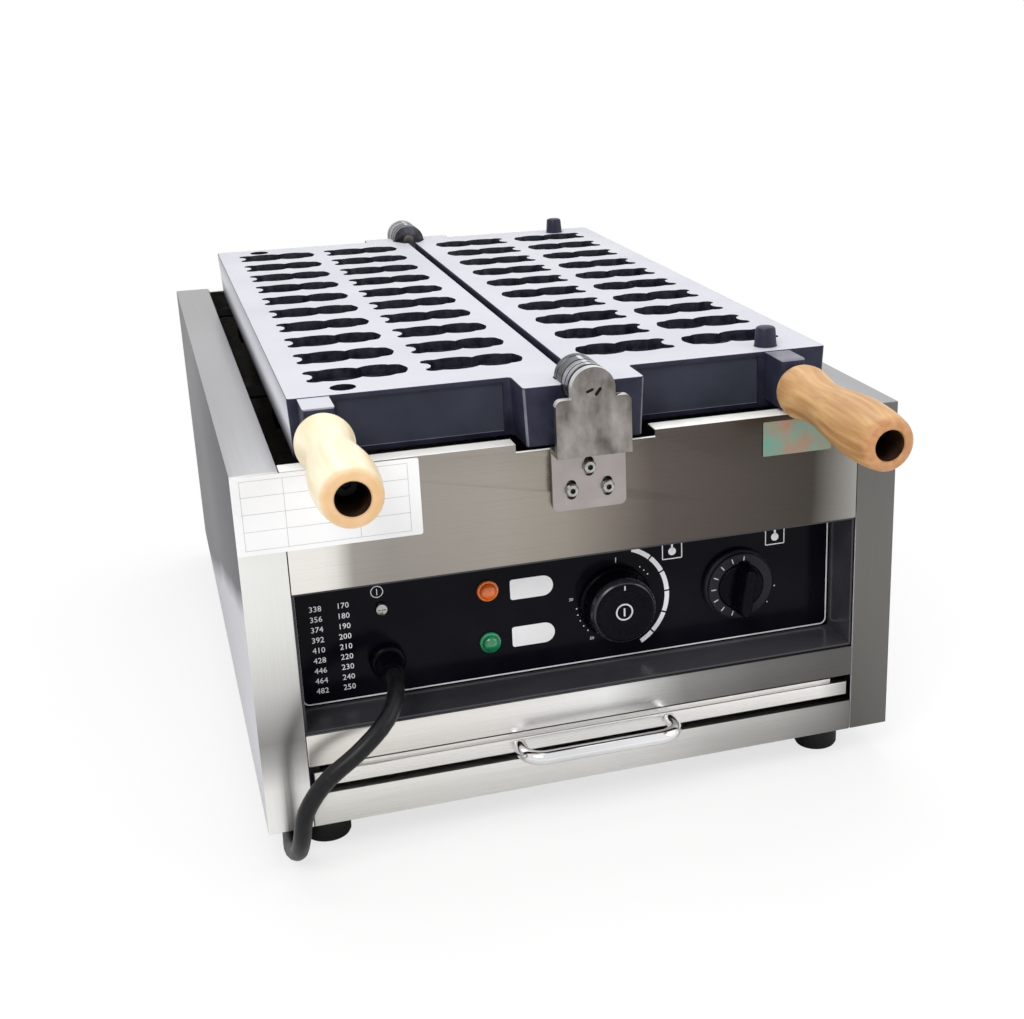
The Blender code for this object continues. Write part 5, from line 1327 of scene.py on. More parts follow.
    def build_timer_knob(self) -> None:
        """A dial disc with ticks, a hub and a grip bar that tapers outwards."""
        x, z = self.timer
        seat = self.face - self.knob_gap
        socket = self.shaft_radius + FIT
        disc = [(0, 0.0060), (0.0194, 0.0060), (0.0202, 0.0057), (0.0205, 0.0050), (0.0207, 0.0038),
                (0.0213, 0.0034), (0.0219, 0.0028), (0.0220, 0.0020), (0.0220, 0.0),
                (socket, 0.0), (socket, 0.0030), (0, 0.0030)]
        place = self.seat(self.timer, self.knob_gap)
        skirt = self.place("timer_dial_disc", Shape().lathe(disc, 96), SKIRT_PLASTIC, place)
        self.hand_over(skirt, "timer_knob", body=Body.TIMER)
        hub = Shape().lathe([
            (0, 0.0078), (0.0128, 0.0078), (0.0140, 0.0073), (0.0145, 0.0064), (0.0146, 0.0052),
            (0, 0.0052)], 96)
        knob = self.place("timer_hub_and_grip", hub, KNOB_PLASTIC, place)
        carve(knob, self.grip_bar(), "UNION")
        self.hand_over(knob, "timer_knob", (), Body.TIMER, sharp=40)
        ticks = Shape()
        distance, length, width = 0.0174, 0.0015, 0.00034
        for degrees in range(84, 280, 24):
            a = math.radians(degrees)
            way, across = Vector((math.cos(a), 0, math.sin(a))), Vector((-math.sin(a), 0, math.cos(a)))
            middle = Vector((x, seat - 0.0060, z)) + way * distance
            corners = [middle + way * p * length + across * q * width
                       for p, q in ((-1, -1), (1, -1), (1, 1), (-1, 1))]
            ticks.prism(corners, (0, -2 * self.ink, 0))
        self.hand_over(self.place("timer_dial_ticks", ticks, PRINT_GREY), "timer_knob", (), Body.TIMER)

    def grip_bar(self) -> Shape:
        """The timer's leaning grip bar, less wide and a little shorter at each level outwards."""
        half, reach = 0.0050, 0.0112
        outline = arc((0, reach), half, 0, math.pi, 12) + arc((0, -reach), half, math.pi, math.tau, 12)
        c, s = math.cos(self.lean), math.sin(self.lean)
        levels = []
        for height, wide in ((0.0056, 1.06), (0.0078, 1.0), (0.0170, 0.80), (0.0186, 0.72), (0.0195, 0.56)):
            long = 1 + (wide - 1) * 0.3
            levels.append([(px * wide * c + py * long * s, py * long * c - px * wide * s, height)
                           for px, py in outline])
        return Shape().stack(levels)

    def build_gland(self) -> None:
        """The cable gland with its boot, its nut and the earth screw."""
        profile = [
            (0, 0.0220), (0.0060, 0.0220), (0.0063, 0.0214), (0.0066, 0.0190), (0.0074, 0.0112),
            (0.0078, 0.0100), (0.0078, 0.0072), (0.0086, 0.0070), (0.0096, 0.0062), (0.0100, 0.0054),
            (0.0100, 0.0), (0.0075, 0.0), (0.0075, -0.0120), (0, -0.0120)]
        gland = self.place("cable_gland_boot", Shape().lathe(profile, 48), KNOB_PLASTIC, self.seat(self.gland))
        self.hand_over(gland, "cable_gland")
        self.keep("gland_nut", KNOB_PLASTIC)
        build_screw(self, "earth_screw_head", self.seat(self.earth), "earth_screw", crossed=True)


def build_screw(owner: Assembly, name: str, place: Matrix, node: str, crossed: bool = False) -> None:
    """A pan-head screw with a hexagon socket, or with a cross.

    Args:
        owner: the assembly that it belongs to.
        name: the piece's name.
        place: its seat, with Z out of the surface.
        node: the CAD node that it replaces.
        crossed: whether it has a cross in place of a hexagon.
    """
    radius, height, shank, length = 0.0037, 0.0026, 0.0022, 0.0080
    profile = [(0, height), (radius * 0.55, height), (radius * 0.82, height * 0.86), (radius * 0.96, height * 0.58),
               (radius, height * 0.30), (radius, 0), (shank, 0), (shank, -length), (0, -length)]
    screw = owner.place(name, Shape().lathe(profile, 32), PLAIN_STEEL, place)
    if crossed:
        long, narrow = (-0.0022, 0.0022), (-0.0004, 0.0004)
        for xs, ys in ((long, narrow), (narrow, long)):
            carve(screw, Shape().block(xs, ys, (height - 0.0012, height + OVERRUN)))
    else:
        carve(screw, Shape().rod((0, 0, height - 0.0017), (0, 0, height + OVERRUN), 0.0015, 6, 0.0018))
        # Painted shade in the hexagon socket.
        tint(screw, BOLT_DARK, lambda face: 0 < face.center.z < height - 0.0002
             and math.hypot(face.center.x, face.center.y) < 0.0016)
    owner.hand_over(screw, node)


@dataclass
class Hinged(Assembly):
    """What the hinge line and the moulds share: the hinge's axis, its rings and its shafts."""

    axis_z: float = 0.2557
    case_top: float = CASE_TOP
    ring: float = 0.0121
    shaft: float = 0.0045

    def on_axis(self, end: End, out: float) -> Point:
        """The point of the hinge's axis that lies a distance out of the face at one end."""
        return (0, end.face + end.value * out, self.axis_z)


@dataclass
class HingeLine(Hinged):
    """Bearing brackets with their screws, stub shafts, washers and collars."""

    stand_off: float = 0.0110
    plate: float = 0.0050
    sheet: float = 0.0030
    half_width: float = 0.0208
    top_drop: float = 0.0044
    ledge_drop: float = 0.0062
    leg: float = 0.0333
    collar_start: float = 0.0128
    collar_length: float = 0.0050
    corner: float = 0.0035
    slot: Pair = (0.0056, 0.0112)
    screw_places: tuple[Pair, ...] = BRACKET_SCREWS

    def build(self) -> None:
        """Make both ends of the hinge line."""
        for end in End:
            self.build_bracket(end)
            self.build_rings(end)

    def build_bracket(self, end: End) -> None:
        """One bracket: leg, ledge, and a plate with a round-topped lobe.

        Args:
            end: front or rear.
        """
        out, face = end.value, end.face
        ledge, top = self.case_top - self.ledge_drop, self.axis_z - self.top_drop
        foot, leg, reach = ledge - self.leg, FIT + self.sheet, self.stand_off + self.plate
        profile = [
            (FIT, foot), (FIT, ledge + self.sheet), (self.stand_off, ledge + self.sheet),
            (self.stand_off, top), (reach, top), (reach, ledge), (leg, ledge), (leg, foot)]
        shape = Shape()
        shape.prism([(-self.half_width, face + out * d, z) for d, z in profile], (2 * self.half_width, 0, 0))
        corners = [e for e in shape.bm.edges
                   if abs(e.verts[0].co.y - e.verts[1].co.y) > FIT
                   and any(abs(e.verts[0].co.z - z) < FIT for z in (foot, top))]
        shape.bevel(corners, self.corner, 6)
        bracket = self.place(f"{end.word}_bearing_bracket", shape, HINGE_STEEL)
        lobe = Shape()
        outline = arc((0, self.axis_z), self.ring, 0, math.pi, 32)
        outline += [(-self.ring, top - 0.002), (self.ring, top - 0.002)]
        lobe.prism([(x, face + out * self.stand_off, z) for x, z in outline], (0, out * self.plate, 0))
        carve(bracket, lobe, "UNION")
        holes = Shape()
        holes.rod(self.on_axis(end, self.stand_off - OVERRUN), self.on_axis(end, reach + OVERRUN),
                  self.shaft + FIT, 32)
        half = (self.slot[1] - self.slot[0]) / 2
        for x, z in self.screw_places:
            slot = arc((x, z + half), self.slot[0] / 2, 0, math.pi, 10)
            slot += arc((x, z - half), self.slot[0] / 2, math.pi, math.tau, 10)
            holes.prism([(px, face + out * (FIT - OVERRUN), pz) for px, pz in slot],
                        (0, out * (self.sheet + 2 * OVERRUN), 0))
        carve(bracket, holes)
        carve(bracket, self.dents(face + out * reach, out))
        soften(bracket, 0.0010)
        # Painted light and shade on the bracket: a highlight on the plate's rounded border, a lighter leg, and shade in
        # the staked dents.
        border, leg_steel, dark = 1, 2, 3
        for finish in (BORDER_HIGHLIGHT, LIT_LEG_STEEL, HOLLOW_SHADE):
            bracket.data.materials.append(finish.material())
        for part in bracket.data.polygons:
            depth = abs(part.center.y - face)
            if self.dented(part.center, reach - depth):
                part.material_index = dark
            elif depth > self.stand_off - FIT and part.center.z > ledge - 0.001 and abs(part.normal.y) < 0.97:
                part.material_index = border
            elif depth < leg + FIT:
                part.material_index = leg_steel
        self.hand_over(bracket, f"{end.word}_hinge_bracket")
        for number, (x, z) in enumerate(self.screw_places, 1):
            seat = facing((x, face + out * (leg + FIT), z), (0, out, 0))
            node = f"{end.word}_bracket_screw_{number}"
            build_screw(self, f"{node}_head", seat, node)

    def dents(self, y: float, out: int) -> Shape:
        """Two slanting dents where the shaft's end is staked.

        Args:
            y: the plate's outer face.
            out: which way that face looks along Y.

        Returns:
            The shape to cut.
        """
        shape = Shape()
        for x, z, degrees, half_length, half_width in ((-0.0020, -0.0004, 20, 0.0022, 0.0008),
                                                       (0.0026, -0.0012, 52, 0.0026, 0.0009)):
            c, s = math.cos(math.radians(degrees)), math.sin(math.radians(degrees))
            corners = [(x + p * half_length * c - q * half_width * s, y + out * OVERRUN,
                        self.axis_z + z + p * half_length * s + q * half_width * c)
                       for p, q in ((-1, -0.6), (-0.6, -1), (0.6, -1), (1, -0.6), (1, 0.6), (0.6, 1), (-0.6, 1),
                                    (-1, 0.6))]
            shape.prism(corners, (0, -out * (OVERRUN + 0.0008), 0))
        return shape

    def dented(self, point: Vector, depth: float) -> bool:
        """Whether a point lies inside a dent, at a depth below the plate's face."""
        return 0.0001 < depth < 0.0012 and math.hypot(point.x, point.z - self.axis_z) < 0.0060

    def build_rings(self, end: End) -> None:
        """Shaft, washer and collar of one end.

        Args:
            end: front or rear.
        """
        inward, bore = (0, -end.value, 0), self.shaft + FIT
        tip = self.on_axis(end, self.stand_off + self.plate)
        inner = self.on_axis(end, -(self.collar_start + self.collar_length))
        wide, whole = self.shaft + FIT * 0.7, abs(tip[1] - inner[1])
        shaft = Shape().lathe([(wide, 0), (wide, 0.0040), (self.shaft, 0.0042), (self.shaft, whole), (0, whole),
                               (0, 0)], 48, facing(tip, inward))
        shaft = self.place(f"{end.word}_stub_shaft", shaft, HINGE_STEEL)
        carve(shaft, self.dents(tip[1], end.value))
        # Painted shade in the staked dents.
        tint(shaft, HOLLOW_SHADE, lambda part: self.dented(part.center, abs(part.center.y - tip[1]))
             and math.hypot(part.center.x, part.center.z - self.axis_z) < wide - FIT)
        self.hand_over(shaft, f"{end.word}_hinge_shaft")
        rows = (
            ("washer", "washer", self.stand_off - FIT, 0.0114, 0.0014, RING_STEEL),
            ("end_collar", "shaft_collar", -self.collar_start, self.ring, self.collar_length, SHADED_RING),
        )
        for label, node, start, radius, length, finish in rows:
            edge = min(0.0004, length / 4)
            profile = [(radius - edge, length), (radius, length - edge), (radius, edge), (radius - edge, 0),
                       (bore, 0), (bore, length)]
            place = facing(self.on_axis(end, start), inward)
            ring = self.place(f"{end.word}_{label}", Shape().lathe(profile, 64), finish, place)
            self.hand_over(ring, f"{end.word}_{node}")


@dataclass
class Mould(Hinged):
    """One cast mould with its cavities, lug, knuckles, dowels and handle."""

    side: Side = Side.LEFT
    front: float = FRONT
    rear: float = REAR
    inner: float = 0.0026
    outer: float = 0.1532
    body_front: float = -0.188
    body_rear: float = 0.289
    boss_half: float = 0.0340
    boss_inset: float = 0.0005
    land: float = 0.25555
    thickness: float = 0.033
    draft: float = 0.0015
    corner: float = 0.0022
    rim: float = 0.0005
    relief: float = 0.0006
    columns: Pair = (0.0445, 0.1100)
    rows: int = 10
    pitch: float = 0.0440
    row_shift: float = 0.0025
    cavity_length: float = 0.0570
    cavity_half: float = 0.0145
    cavity_depth: float = 0.0130
    cavity_draft: float = 0.0020
    neck: float = 0.530
    ridge: float = 0.45
    bear: tuple[Pair, ...] = (
        (0.076, 0.00), (0.066, 0.22), (0.044, 0.36), (0.006, 0.47), (0.000, 0.60), (0.008, 0.76), (0.030, 0.86),
        (0.075, 0.92), (0.115, 0.90), (0.150, 0.86), (0.190, 0.91), (0.240, 0.97), (0.300, 1.00), (0.370, 0.99),
        (0.440, 0.94), (0.490, 0.84), (0.530, 0.70), (0.560, 0.80), (0.600, 0.90), (0.660, 0.97), (0.720, 0.98),
        (0.780, 0.96), (0.820, 0.88), (0.840, 0.80), (0.900, 0.77), (0.945, 0.69), (0.968, 0.50), (0.988, 0.26),
        (1.000, 0.00))
    dowel_x: float = 0.1218
    dowel_ys: Pair = (-0.174, 0.275)
    handle_lug: float = 0.0038
    grip: tuple[Pair, ...] = (
        (0.0154, 0.125), (0.0149, 0.175), (0.0135, 0.25), (0.0128, 0.33), (0.0134, 0.43), (0.0151, 0.56),
        (0.0163, 0.68), (0.0165, 0.77), (0.0160, 0.88), (0.0148, 0.965))
    sunk: float = 0.002
    near: float = 0.001
    ring_end: float = 0.0182
    scoop_end: float = 0.0300

    @property
    def sign(self) -> int:
        """The side as the sign of X."""
        return self.side.value

    @property
    def lug(self) -> Pair:
        """The lug's centre and width."""
        return (0.1230, 0.0150) if self.side is Side.RIGHT else (0.1395, 0.0165)

    def build(self) -> None:
        """Make the mould and what turns with it."""
        self.body = Body.RIGHT_MOULD if self.side is Side.RIGHT else Body.LEFT_MOULD
        self.build_casting()
        if self.side is Side.RIGHT:
            self.build_dowels()
        self.build_handle()

    def build_casting(self) -> None:
        """Block, lug and knuckles, less cavities, pockets and holes."""
        s = self.sign
        boss_front, boss_rear = self.front + self.boss_inset, self.rear - self.boss_inset
        plan = [
            (self.inner, boss_front), (self.boss_half, boss_front), (self.boss_half, self.body_front),
            (self.outer, self.body_front), (self.outer, self.body_rear), (self.boss_half, self.body_rear),
            (self.boss_half, boss_rear), (self.inner, boss_rear)]
        shape = Shape()
        back = shape.prism([(s * x, y, self.land) for x, y in plan], (0, 0, -self.thickness))
        middle = (boss_front + boss_rear) / 2
        for vert in back:
            if abs(vert.co.x) > self.inner + FIT:
                vert.co.x -= s * self.draft
            vert.co.y += self.draft if vert.co.y < middle else -self.draft
        uprights = [e for e in shape.bm.edges
                    if abs(e.verts[0].co.z - e.verts[1].co.z) > self.thickness / 2
                    and abs(e.verts[0].co.x) > self.inner + self.draft]
        shape.bevel(uprights, self.corner, 4)
        rims = [e for e in shape.bm.edges if abs(e.verts[0].co.z - e.verts[1].co.z) < FIT]
        shape.bevel(rims, self.rim, 2)
        casting = self.place(f"{self.side.word}_mould_casting", shape, COATED_IRON)
        carve(casting, self.lug_shape(), "UNION")
        self.carve_knuckles(casting)
        for cavities in self.cavities():
            carve(casting, cavities)
        self.carve_details(casting)
        self.paint(casting)
        self.hand_over(casting, f"mould_{self.side.word}", sharp=30)

    def lug_shape(self) -> Shape:
        """The lug that carries the handle."""
        centre, width = self.lug
        s = self.sign
        shape = Shape().block(
            (s * (centre - width / 2), s * (centre + width / 2)),
            (self.front + self.handle_lug, self.body_front + 0.006), (self.case_top + 0.002, self.land - 0.0004))
        edges = [e for e in shape.bm.edges if all(v.co.y < self.body_front for v in e.verts)]
        shape.bevel(edges, 0.0030, 4, 0.6)
        return shape

    def carve_knuckles(self, casting: bpy.types.Object) -> None:
        """Cut room for the other mould's rings, then join this one's rings and bore them.

        Args:
            casting: the casting.
        """
        if self.side is Side.RIGHT:
            own, reliefs = (-0.0090, 0.0026), [(0.0028, self.ring_end)]
        else:
            own, reliefs = (0.0030, 0.0124), [(-0.0010, 0.0028), (0.0126, self.ring_end)]
        rings, grooves, bores, scoops = Shape(), Shape(), Shape(), Shape()
        wide, edge, clear = self.ring + self.relief, 0.0007, 0.011
        scoop_start, scoop_tip = 0.0178, 0.0060
        for end in End:
            start = self.on_axis(end, -own[0])
            length = abs(self.on_axis(end, -own[1])[1] - start[1])
            groove = [(self.ring, 0.0046), (self.ring - edge, 0.0049), (self.ring - edge, 0.0056),
                      (self.ring, 0.0059)] if self.side is Side.RIGHT else []
            profile = [(0, 0), (self.ring - edge, 0), (self.ring, edge), *groove, (self.ring, length - edge),
                       (self.ring - edge, length), (0, length)]
            rings.lathe(profile[::-1], 64, facing(start, (0, -end.value, 0)))
            for first, last in reliefs:
                grooves.rod(self.on_axis(end, -first), self.on_axis(end, -last), wide, 64)
            bores.rod(self.on_axis(end, clear), self.on_axis(end, -self.ring_end), self.shaft + FIT, 40)
            scoops.rod(self.on_axis(end, -scoop_start), self.on_axis(end, -self.scoop_end), wide, 64, scoop_tip)
        carve(casting, grooves)
        carve(casting, scoops)
        carve(casting, rings, "UNION")
        carve(casting, bores)

    def outline(self, centre: Pair, inset: float, height: float, first: float, last: float) -> list[Point]:
        """The outline of a cavity, or of one end of it, at one height.

        Args:
            centre: the cavity's centre.
            inset: how far the outline has drawn in.
            height: its Z.
            first: the share of the cavity's length where the outline starts.
            last: the share where it ends.

        Returns:
            The outline's points.
        """
        length, half = self.cavity_length, self.cavity_half
        share_x, share_y = 1 - 2 * inset / (length * (last - first)), 1 - inset / half
        upper, slack, centre_x = [], 0.001, (first + last) / 2
        for along, across in self.bear:
            if first - slack <= along <= last + slack:
                own = centre_x + (along - centre_x) * share_x
                upper.append((centre[0] + length * (0.5 - own), half * across * share_y))
        full = [(x, centre[1] + y) for x, y in upper] + [(x, centre[1] - y) for x, y in reversed(upper) if y > 0]
        return [(self.sign * x, y, height) for x, y in full]

    def cavities(self) -> list[Shape]:
        """Bear-shaped cavities with sloping walls, then a rounded body and head below, with the neck between."""
        whole = (0.0, 1.0, ((-OVERRUN, 0.0), (0.0, 0.0), (self.ridge, 0.6)))
        body = (0.0, self.neck, ((0.40, 0.8), (0.70, 1.1), (0.88, 1.6), (0.97, 2.4), (1.0, 3.4)))
        head = (self.neck, 1.0, ((0.40, 0.8), (0.66, 1.3), (0.84, 2.2), (0.93, 3.2), (0.97, 4.4)))
        shapes = []
        middle = (self.body_front + self.body_rear) / 2 + self.row_shift
        for first, last, steps in (whole, body, head):
            shape = Shape()
            for column in self.columns:
                for row in range(self.rows):
                    centre = (column, middle + self.pitch * (row - (self.rows - 1) / 2))
                    levels = []
                    for down, inset in steps:
                        depth = down if down < 0 else down * self.cavity_depth
                        inset *= self.cavity_draft / 2
                        levels.append(self.outline(centre, inset, self.land - depth, first, last))
                    shape.stack(levels)
            shapes.append(shape)
        return shapes

    def carve_details(self, casting: bpy.types.Object) -> None:
        """Back pockets, sunk wall panels, dowel holes and the handle's bolt hole.

        Args:
            casting: the casting.
        """
        s = self.sign
        bottom = self.land - self.thickness
        pockets = Shape()
        wall, rib = 0.009, 0.008
        cell_x = (self.outer - self.inner - 2 * wall - rib) / 2
        cell_y = (self.body_rear - self.body_front - 2 * wall - (self.rows - 1) * rib) / self.rows
        for column in range(len(self.columns)):
            near = self.inner + wall + column * (cell_x + rib)
            for row in range(self.rows):
                y = self.body_front + wall + row * (cell_y + rib)
                levels = []
                for rise, inset in ((-OVERRUN, 0.0), (0.0130, 0.0013), (0.0150, 0.0030)):
                    left, right, low, high = near + inset, near + cell_x - inset, y + inset, y + cell_y - inset
                    levels.append([(s * px, py, bottom + rise) for px, py in (
                        (left, low), (right, low), (right, high), (left, high))])
                pockets.stack(levels)
        carve(casting, pockets)
        centre, width = self.lug
        border = 0.004
        panel = Shape().block(
            (s * (self.boss_half + border), s * (centre - width / 2 - border)),
            (self.body_front - OVERRUN, self.body_front + self.sunk), (bottom + 0.003, self.land - 0.0025))
        carve(casting, panel.round_edges(0.0008, 2))
        holes = Shape()
        radius, depth = (0.0069, 0.0103) if self.side is Side.RIGHT else (0.0070, 0.0160)
        for y in self.dowel_ys:
            holes.rod((s * self.dowel_x, y, self.land + OVERRUN), (s * self.dowel_x, y, self.land - depth),
                      radius, 48)
        seat, way = self.handle_seat()
        holes.rod(seat + way * OVERRUN, seat - way * 0.0195, 0.0043, 24)
        carve(casting, holes)

    def paint(self, casting: bpy.types.Object) -> None:
        """Give the land, the sunk panels, the cavities and the rings their own finishes, with painted light and shade:
        a sheen on the land, shade in the cavities, light on the outer walls, lit and shaded rings, and highlights on
        some edges.

        Args:
            casting: the casting.
        """
        for finish in MOULD_FINISHES[1:]:
            casting.data.materials.append(finish.material())
        for face in casting.data.polygons:
            face.material_index = MOULD_FINISHES.index(self.finish_of(face))

    def finish_of(self, face: bpy.types.MeshPolygon) -> Finish:
        """Which finish a face of the casting has.

        Args:
            face: the face.

        Returns:
            One of MOULD_FINISHES.
        """
        centre, normal = face.center, face.normal
        x, sink = abs(centre.x), self.land - centre.z
        deep = min(centre.y - self.front, self.rear - centre.y)
        inward = centre.y - self.body_front
        near_ring = x < self.ring + self.near
        # The lug's top: painted sheen on the left mould, a painted edge highlight on the right.
        if inward < self.near and abs(x - self.lug[0]) < self.lug[1] / 2 and sink < 0.0014:
            if self.side is Side.LEFT and (normal.z > 0.9 or inward > -0.0015):
                return LAND_SHEEN
            return EDGE_HIGHLIGHT if normal.z > 0.2 else COATED_IRON
        if normal.z > 0.99 and sink < 0.0006:
            return LAND_SHEEN
        # The scoops by the rings: painted sheen, as reflection.
        if near_ring and self.ring_end < deep < self.scoop_end + self.near and normal.z > 0.2:
            return LAND_SHEEN
        if abs(normal.x) > 0.9 and x > self.outer - 2 * self.near:
            return LIT_OUTER_WALL
        away = math.hypot(centre.x, centre.z - self.axis_z)
        if near_ring and away <= self.ring + 0.0001 and normal.z > -0.9:
            if away < self.ring - FIT or deep > 0.0135 or sink > 0.006:
                return COATED_IRON
            return LIT_RING if self.side is Side.RIGHT else SHADED_RING
        # The cavities' neck ridge gets a painted highlight, and the cavities below it painted shade.
        if self.inside(centre) and normal.z > 0.9 and abs(sink - self.ridge * self.cavity_depth) < FIT:
            return EDGE_HIGHLIGHT
        if self.inside(centre) and sink < self.cavity_depth + self.near:
            return SHADED_CAVITY_IRON
        if abs(inward - self.sunk) < 0.0004 and abs(normal.y) > 0.9:
            return WALL_PANEL
        # The sunk panel's foot and the boss corners get painted highlights.
        panel_foot = 0.0 < inward < self.sunk and sink > self.thickness - 0.0045 and normal.z > 0.5
        boss_corner = (abs(x - self.boss_half) < 0.003 and abs(centre.y - self.front) < 0.004
                       and 0.3 < abs(normal.x) < 0.95 and abs(normal.z) < 0.2)
        return EDGE_HIGHLIGHT if panel_foot or boss_corner else COATED_IRON

    def inside(self, point: Vector) -> bool:
        """Whether a point lies in a cavity's column, away from the outer walls."""
        x, wall = abs(point.x), 0.004
        reach = self.cavity_length / 2 + FIT
        return (any(abs(x - column) < reach for column in self.columns)
                and self.body_front + wall < point.y < self.body_rear - wall)

    def build_dowels(self) -> None:
        """Tapered pins in the right mould's land."""
        profile = [
            (0, 0.0112), (0.0043, 0.0112), (0.0052, 0.0108), (0.0058, 0.0099), (0.0065, 0.0010),
            (0.0066, 0.0), (0.0066, -0.0100), (0, -0.0100)]
        for label, y in zip(("front", "rear"), self.dowel_ys):
            place = Matrix.Translation((self.dowel_x, y, self.land))
            pin = self.place(f"{label}_locating_pin", Shape().lathe(profile, 48), COATED_IRON, place)
            self.hand_over(pin, f"dowel_pin_{label}")

    def handle_seat(self) -> tuple[Vector, Vector]:
        """Where the handle meets its lug, and which way it points."""
        seat = Vector((self.sign * self.lug[0], self.front + self.handle_lug, self.land - 0.0150))
        if self.side is Side.LEFT:
            return seat, Vector((0, -1, 0))
        splay, droop = math.radians(3.4), math.radians(3.6)
        level = Vector((math.sin(splay), -math.cos(splay), 0))
        return seat, level * math.cos(droop) - Vector((0, 0, math.sin(droop)))

    def build_handle(self) -> None:
        """A turned grip with a deep bore, and the bolt in it."""
        seat, way = self.handle_seat()
        tilt = way.angle(Vector((0, -1, 0)))
        gap = FIT + 0.0085 * math.sin(tilt)
        length = (0.1020 + self.handle_lug - 0.0128 * math.sin(tilt)) / math.cos(tilt) - gap
        floor = length - 0.0300
        knots = [(0.0085, 0.0), (0.0117, 0.0022), (0.0143, 0.0066),
                 *[(radius, length * share) for radius, share in self.grip],
                 (0.0138, length - 0.0010), (0.0124, length)]
        outer = [(p.x, p.y) for p in smooth_line([Vector((*knot, 0)) for knot in knots], 0.0020)]
        bore = [(0.0090, length), (0.0084, length - 0.0008), (0.0084, floor), (0.0045, floor), (0.0045, 0.0)]
        profile = outer[::-1] + bore[::-1]
        finish = BROWN_WOOD if self.side is Side.RIGHT else PALE_WOOD
        place = facing(seat + way * gap, way)
        grip = self.place(f"{self.side.word}_wooden_grip", Shape().lathe(profile, 72), finish, place)
        # Painted shade down the bore.
        tint(grip, HOLLOW_SHADE, lambda face: math.hypot(face.center.x, face.center.y) < 0.0084
             and face.center.z > floor - FIT)
        self.hand_over(grip, f"handle_{self.side.word}", sharp=40)
        head = gap + floor + FIT
        profile = [(0, head + 0.0055), (0.0058, head + 0.0055), (0.0065, head + 0.0048), (0.0065, head),
                   (0.0040, head), (0.0040, -0.0180), (0, -0.0180)]
        bolt = self.place(f"{self.side.word}_grip_bolt", Shape().lathe(profile, 32), BOLT_DARK, facing(seat, way))
        carve(bolt, Shape().rod((0, 0, head + 0.0025), (0, 0, head + 0.0065), 0.0030, 6))
        self.hand_over(bolt, f"handle_bolt_{self.side.word}")


@dataclass
class CrumbTray(Assembly):
    """The tray with its rounded lip and its bow handle."""

    body: Body = Body.TRAY
    front: float = -0.2147
    lip: Pair = (0.0435, 0.0524)
    lip_half: float = 0.1602
    lip_thick: float = 0.0050
    half_width: float = 0.1500
    back: float = 0.2710
    height: float = 0.0112
    sheet: float = 0.0010
    bow_half: float = 0.0453
    bow_reach: float = 0.0190
    bow_radius: float = 0.0040
    bow_corner: float = 0.0120

    def build(self) -> None:
        """Make the tray and its handle."""
        floor = self.lip[0]
        tray = self.place("crumb_tray_pan", Shape().block(
            (-self.half_width, self.half_width), (self.front + self.lip_thick / 2, self.back),
            (floor, floor + self.height)), TRAY_STEEL)
        lip = Shape().block((-self.lip_half, self.lip_half), (self.front, self.front + self.lip_thick), self.lip)
        rounded = [e for e in lip.bm.edges if all(v.co.y < self.front + FIT for v in e.verts)]
        lip.bevel(rounded, 0.0012, 5)
        carve(tray, lip, "UNION")
        carve(tray, Shape().block(
            (-self.half_width + self.sheet, self.half_width - self.sheet),
            (self.front + self.lip_thick, self.back - self.sheet),
            (floor + self.sheet, floor + self.height + OVERRUN)))
        self.hand_over(tray, "crumb_tray")
        self.build_bow()

    def build_bow(self) -> None:
        """The chrome bow, a round bar bent round two corners."""
        z = sum(self.lip) / 2
        reach = FRONT - self.bow_reach
        near, corner = self.bow_half - self.bow_corner, self.bow_corner
        route = [(-self.bow_half, FRONT), *arc((-near, reach + corner), corner, math.pi, 1.5 * math.pi, 14),
                 *arc((near, reach + corner), corner, 1.5 * math.pi, math.tau, 14), (self.bow_half, FRONT)]
        bow = self.place("tray_bow_handle", Shape().tube([(x, y, z) for x, y in route], self.bow_radius, 32), CHROME)
        self.hand_over(bow, "tray_handle", sharp=50)


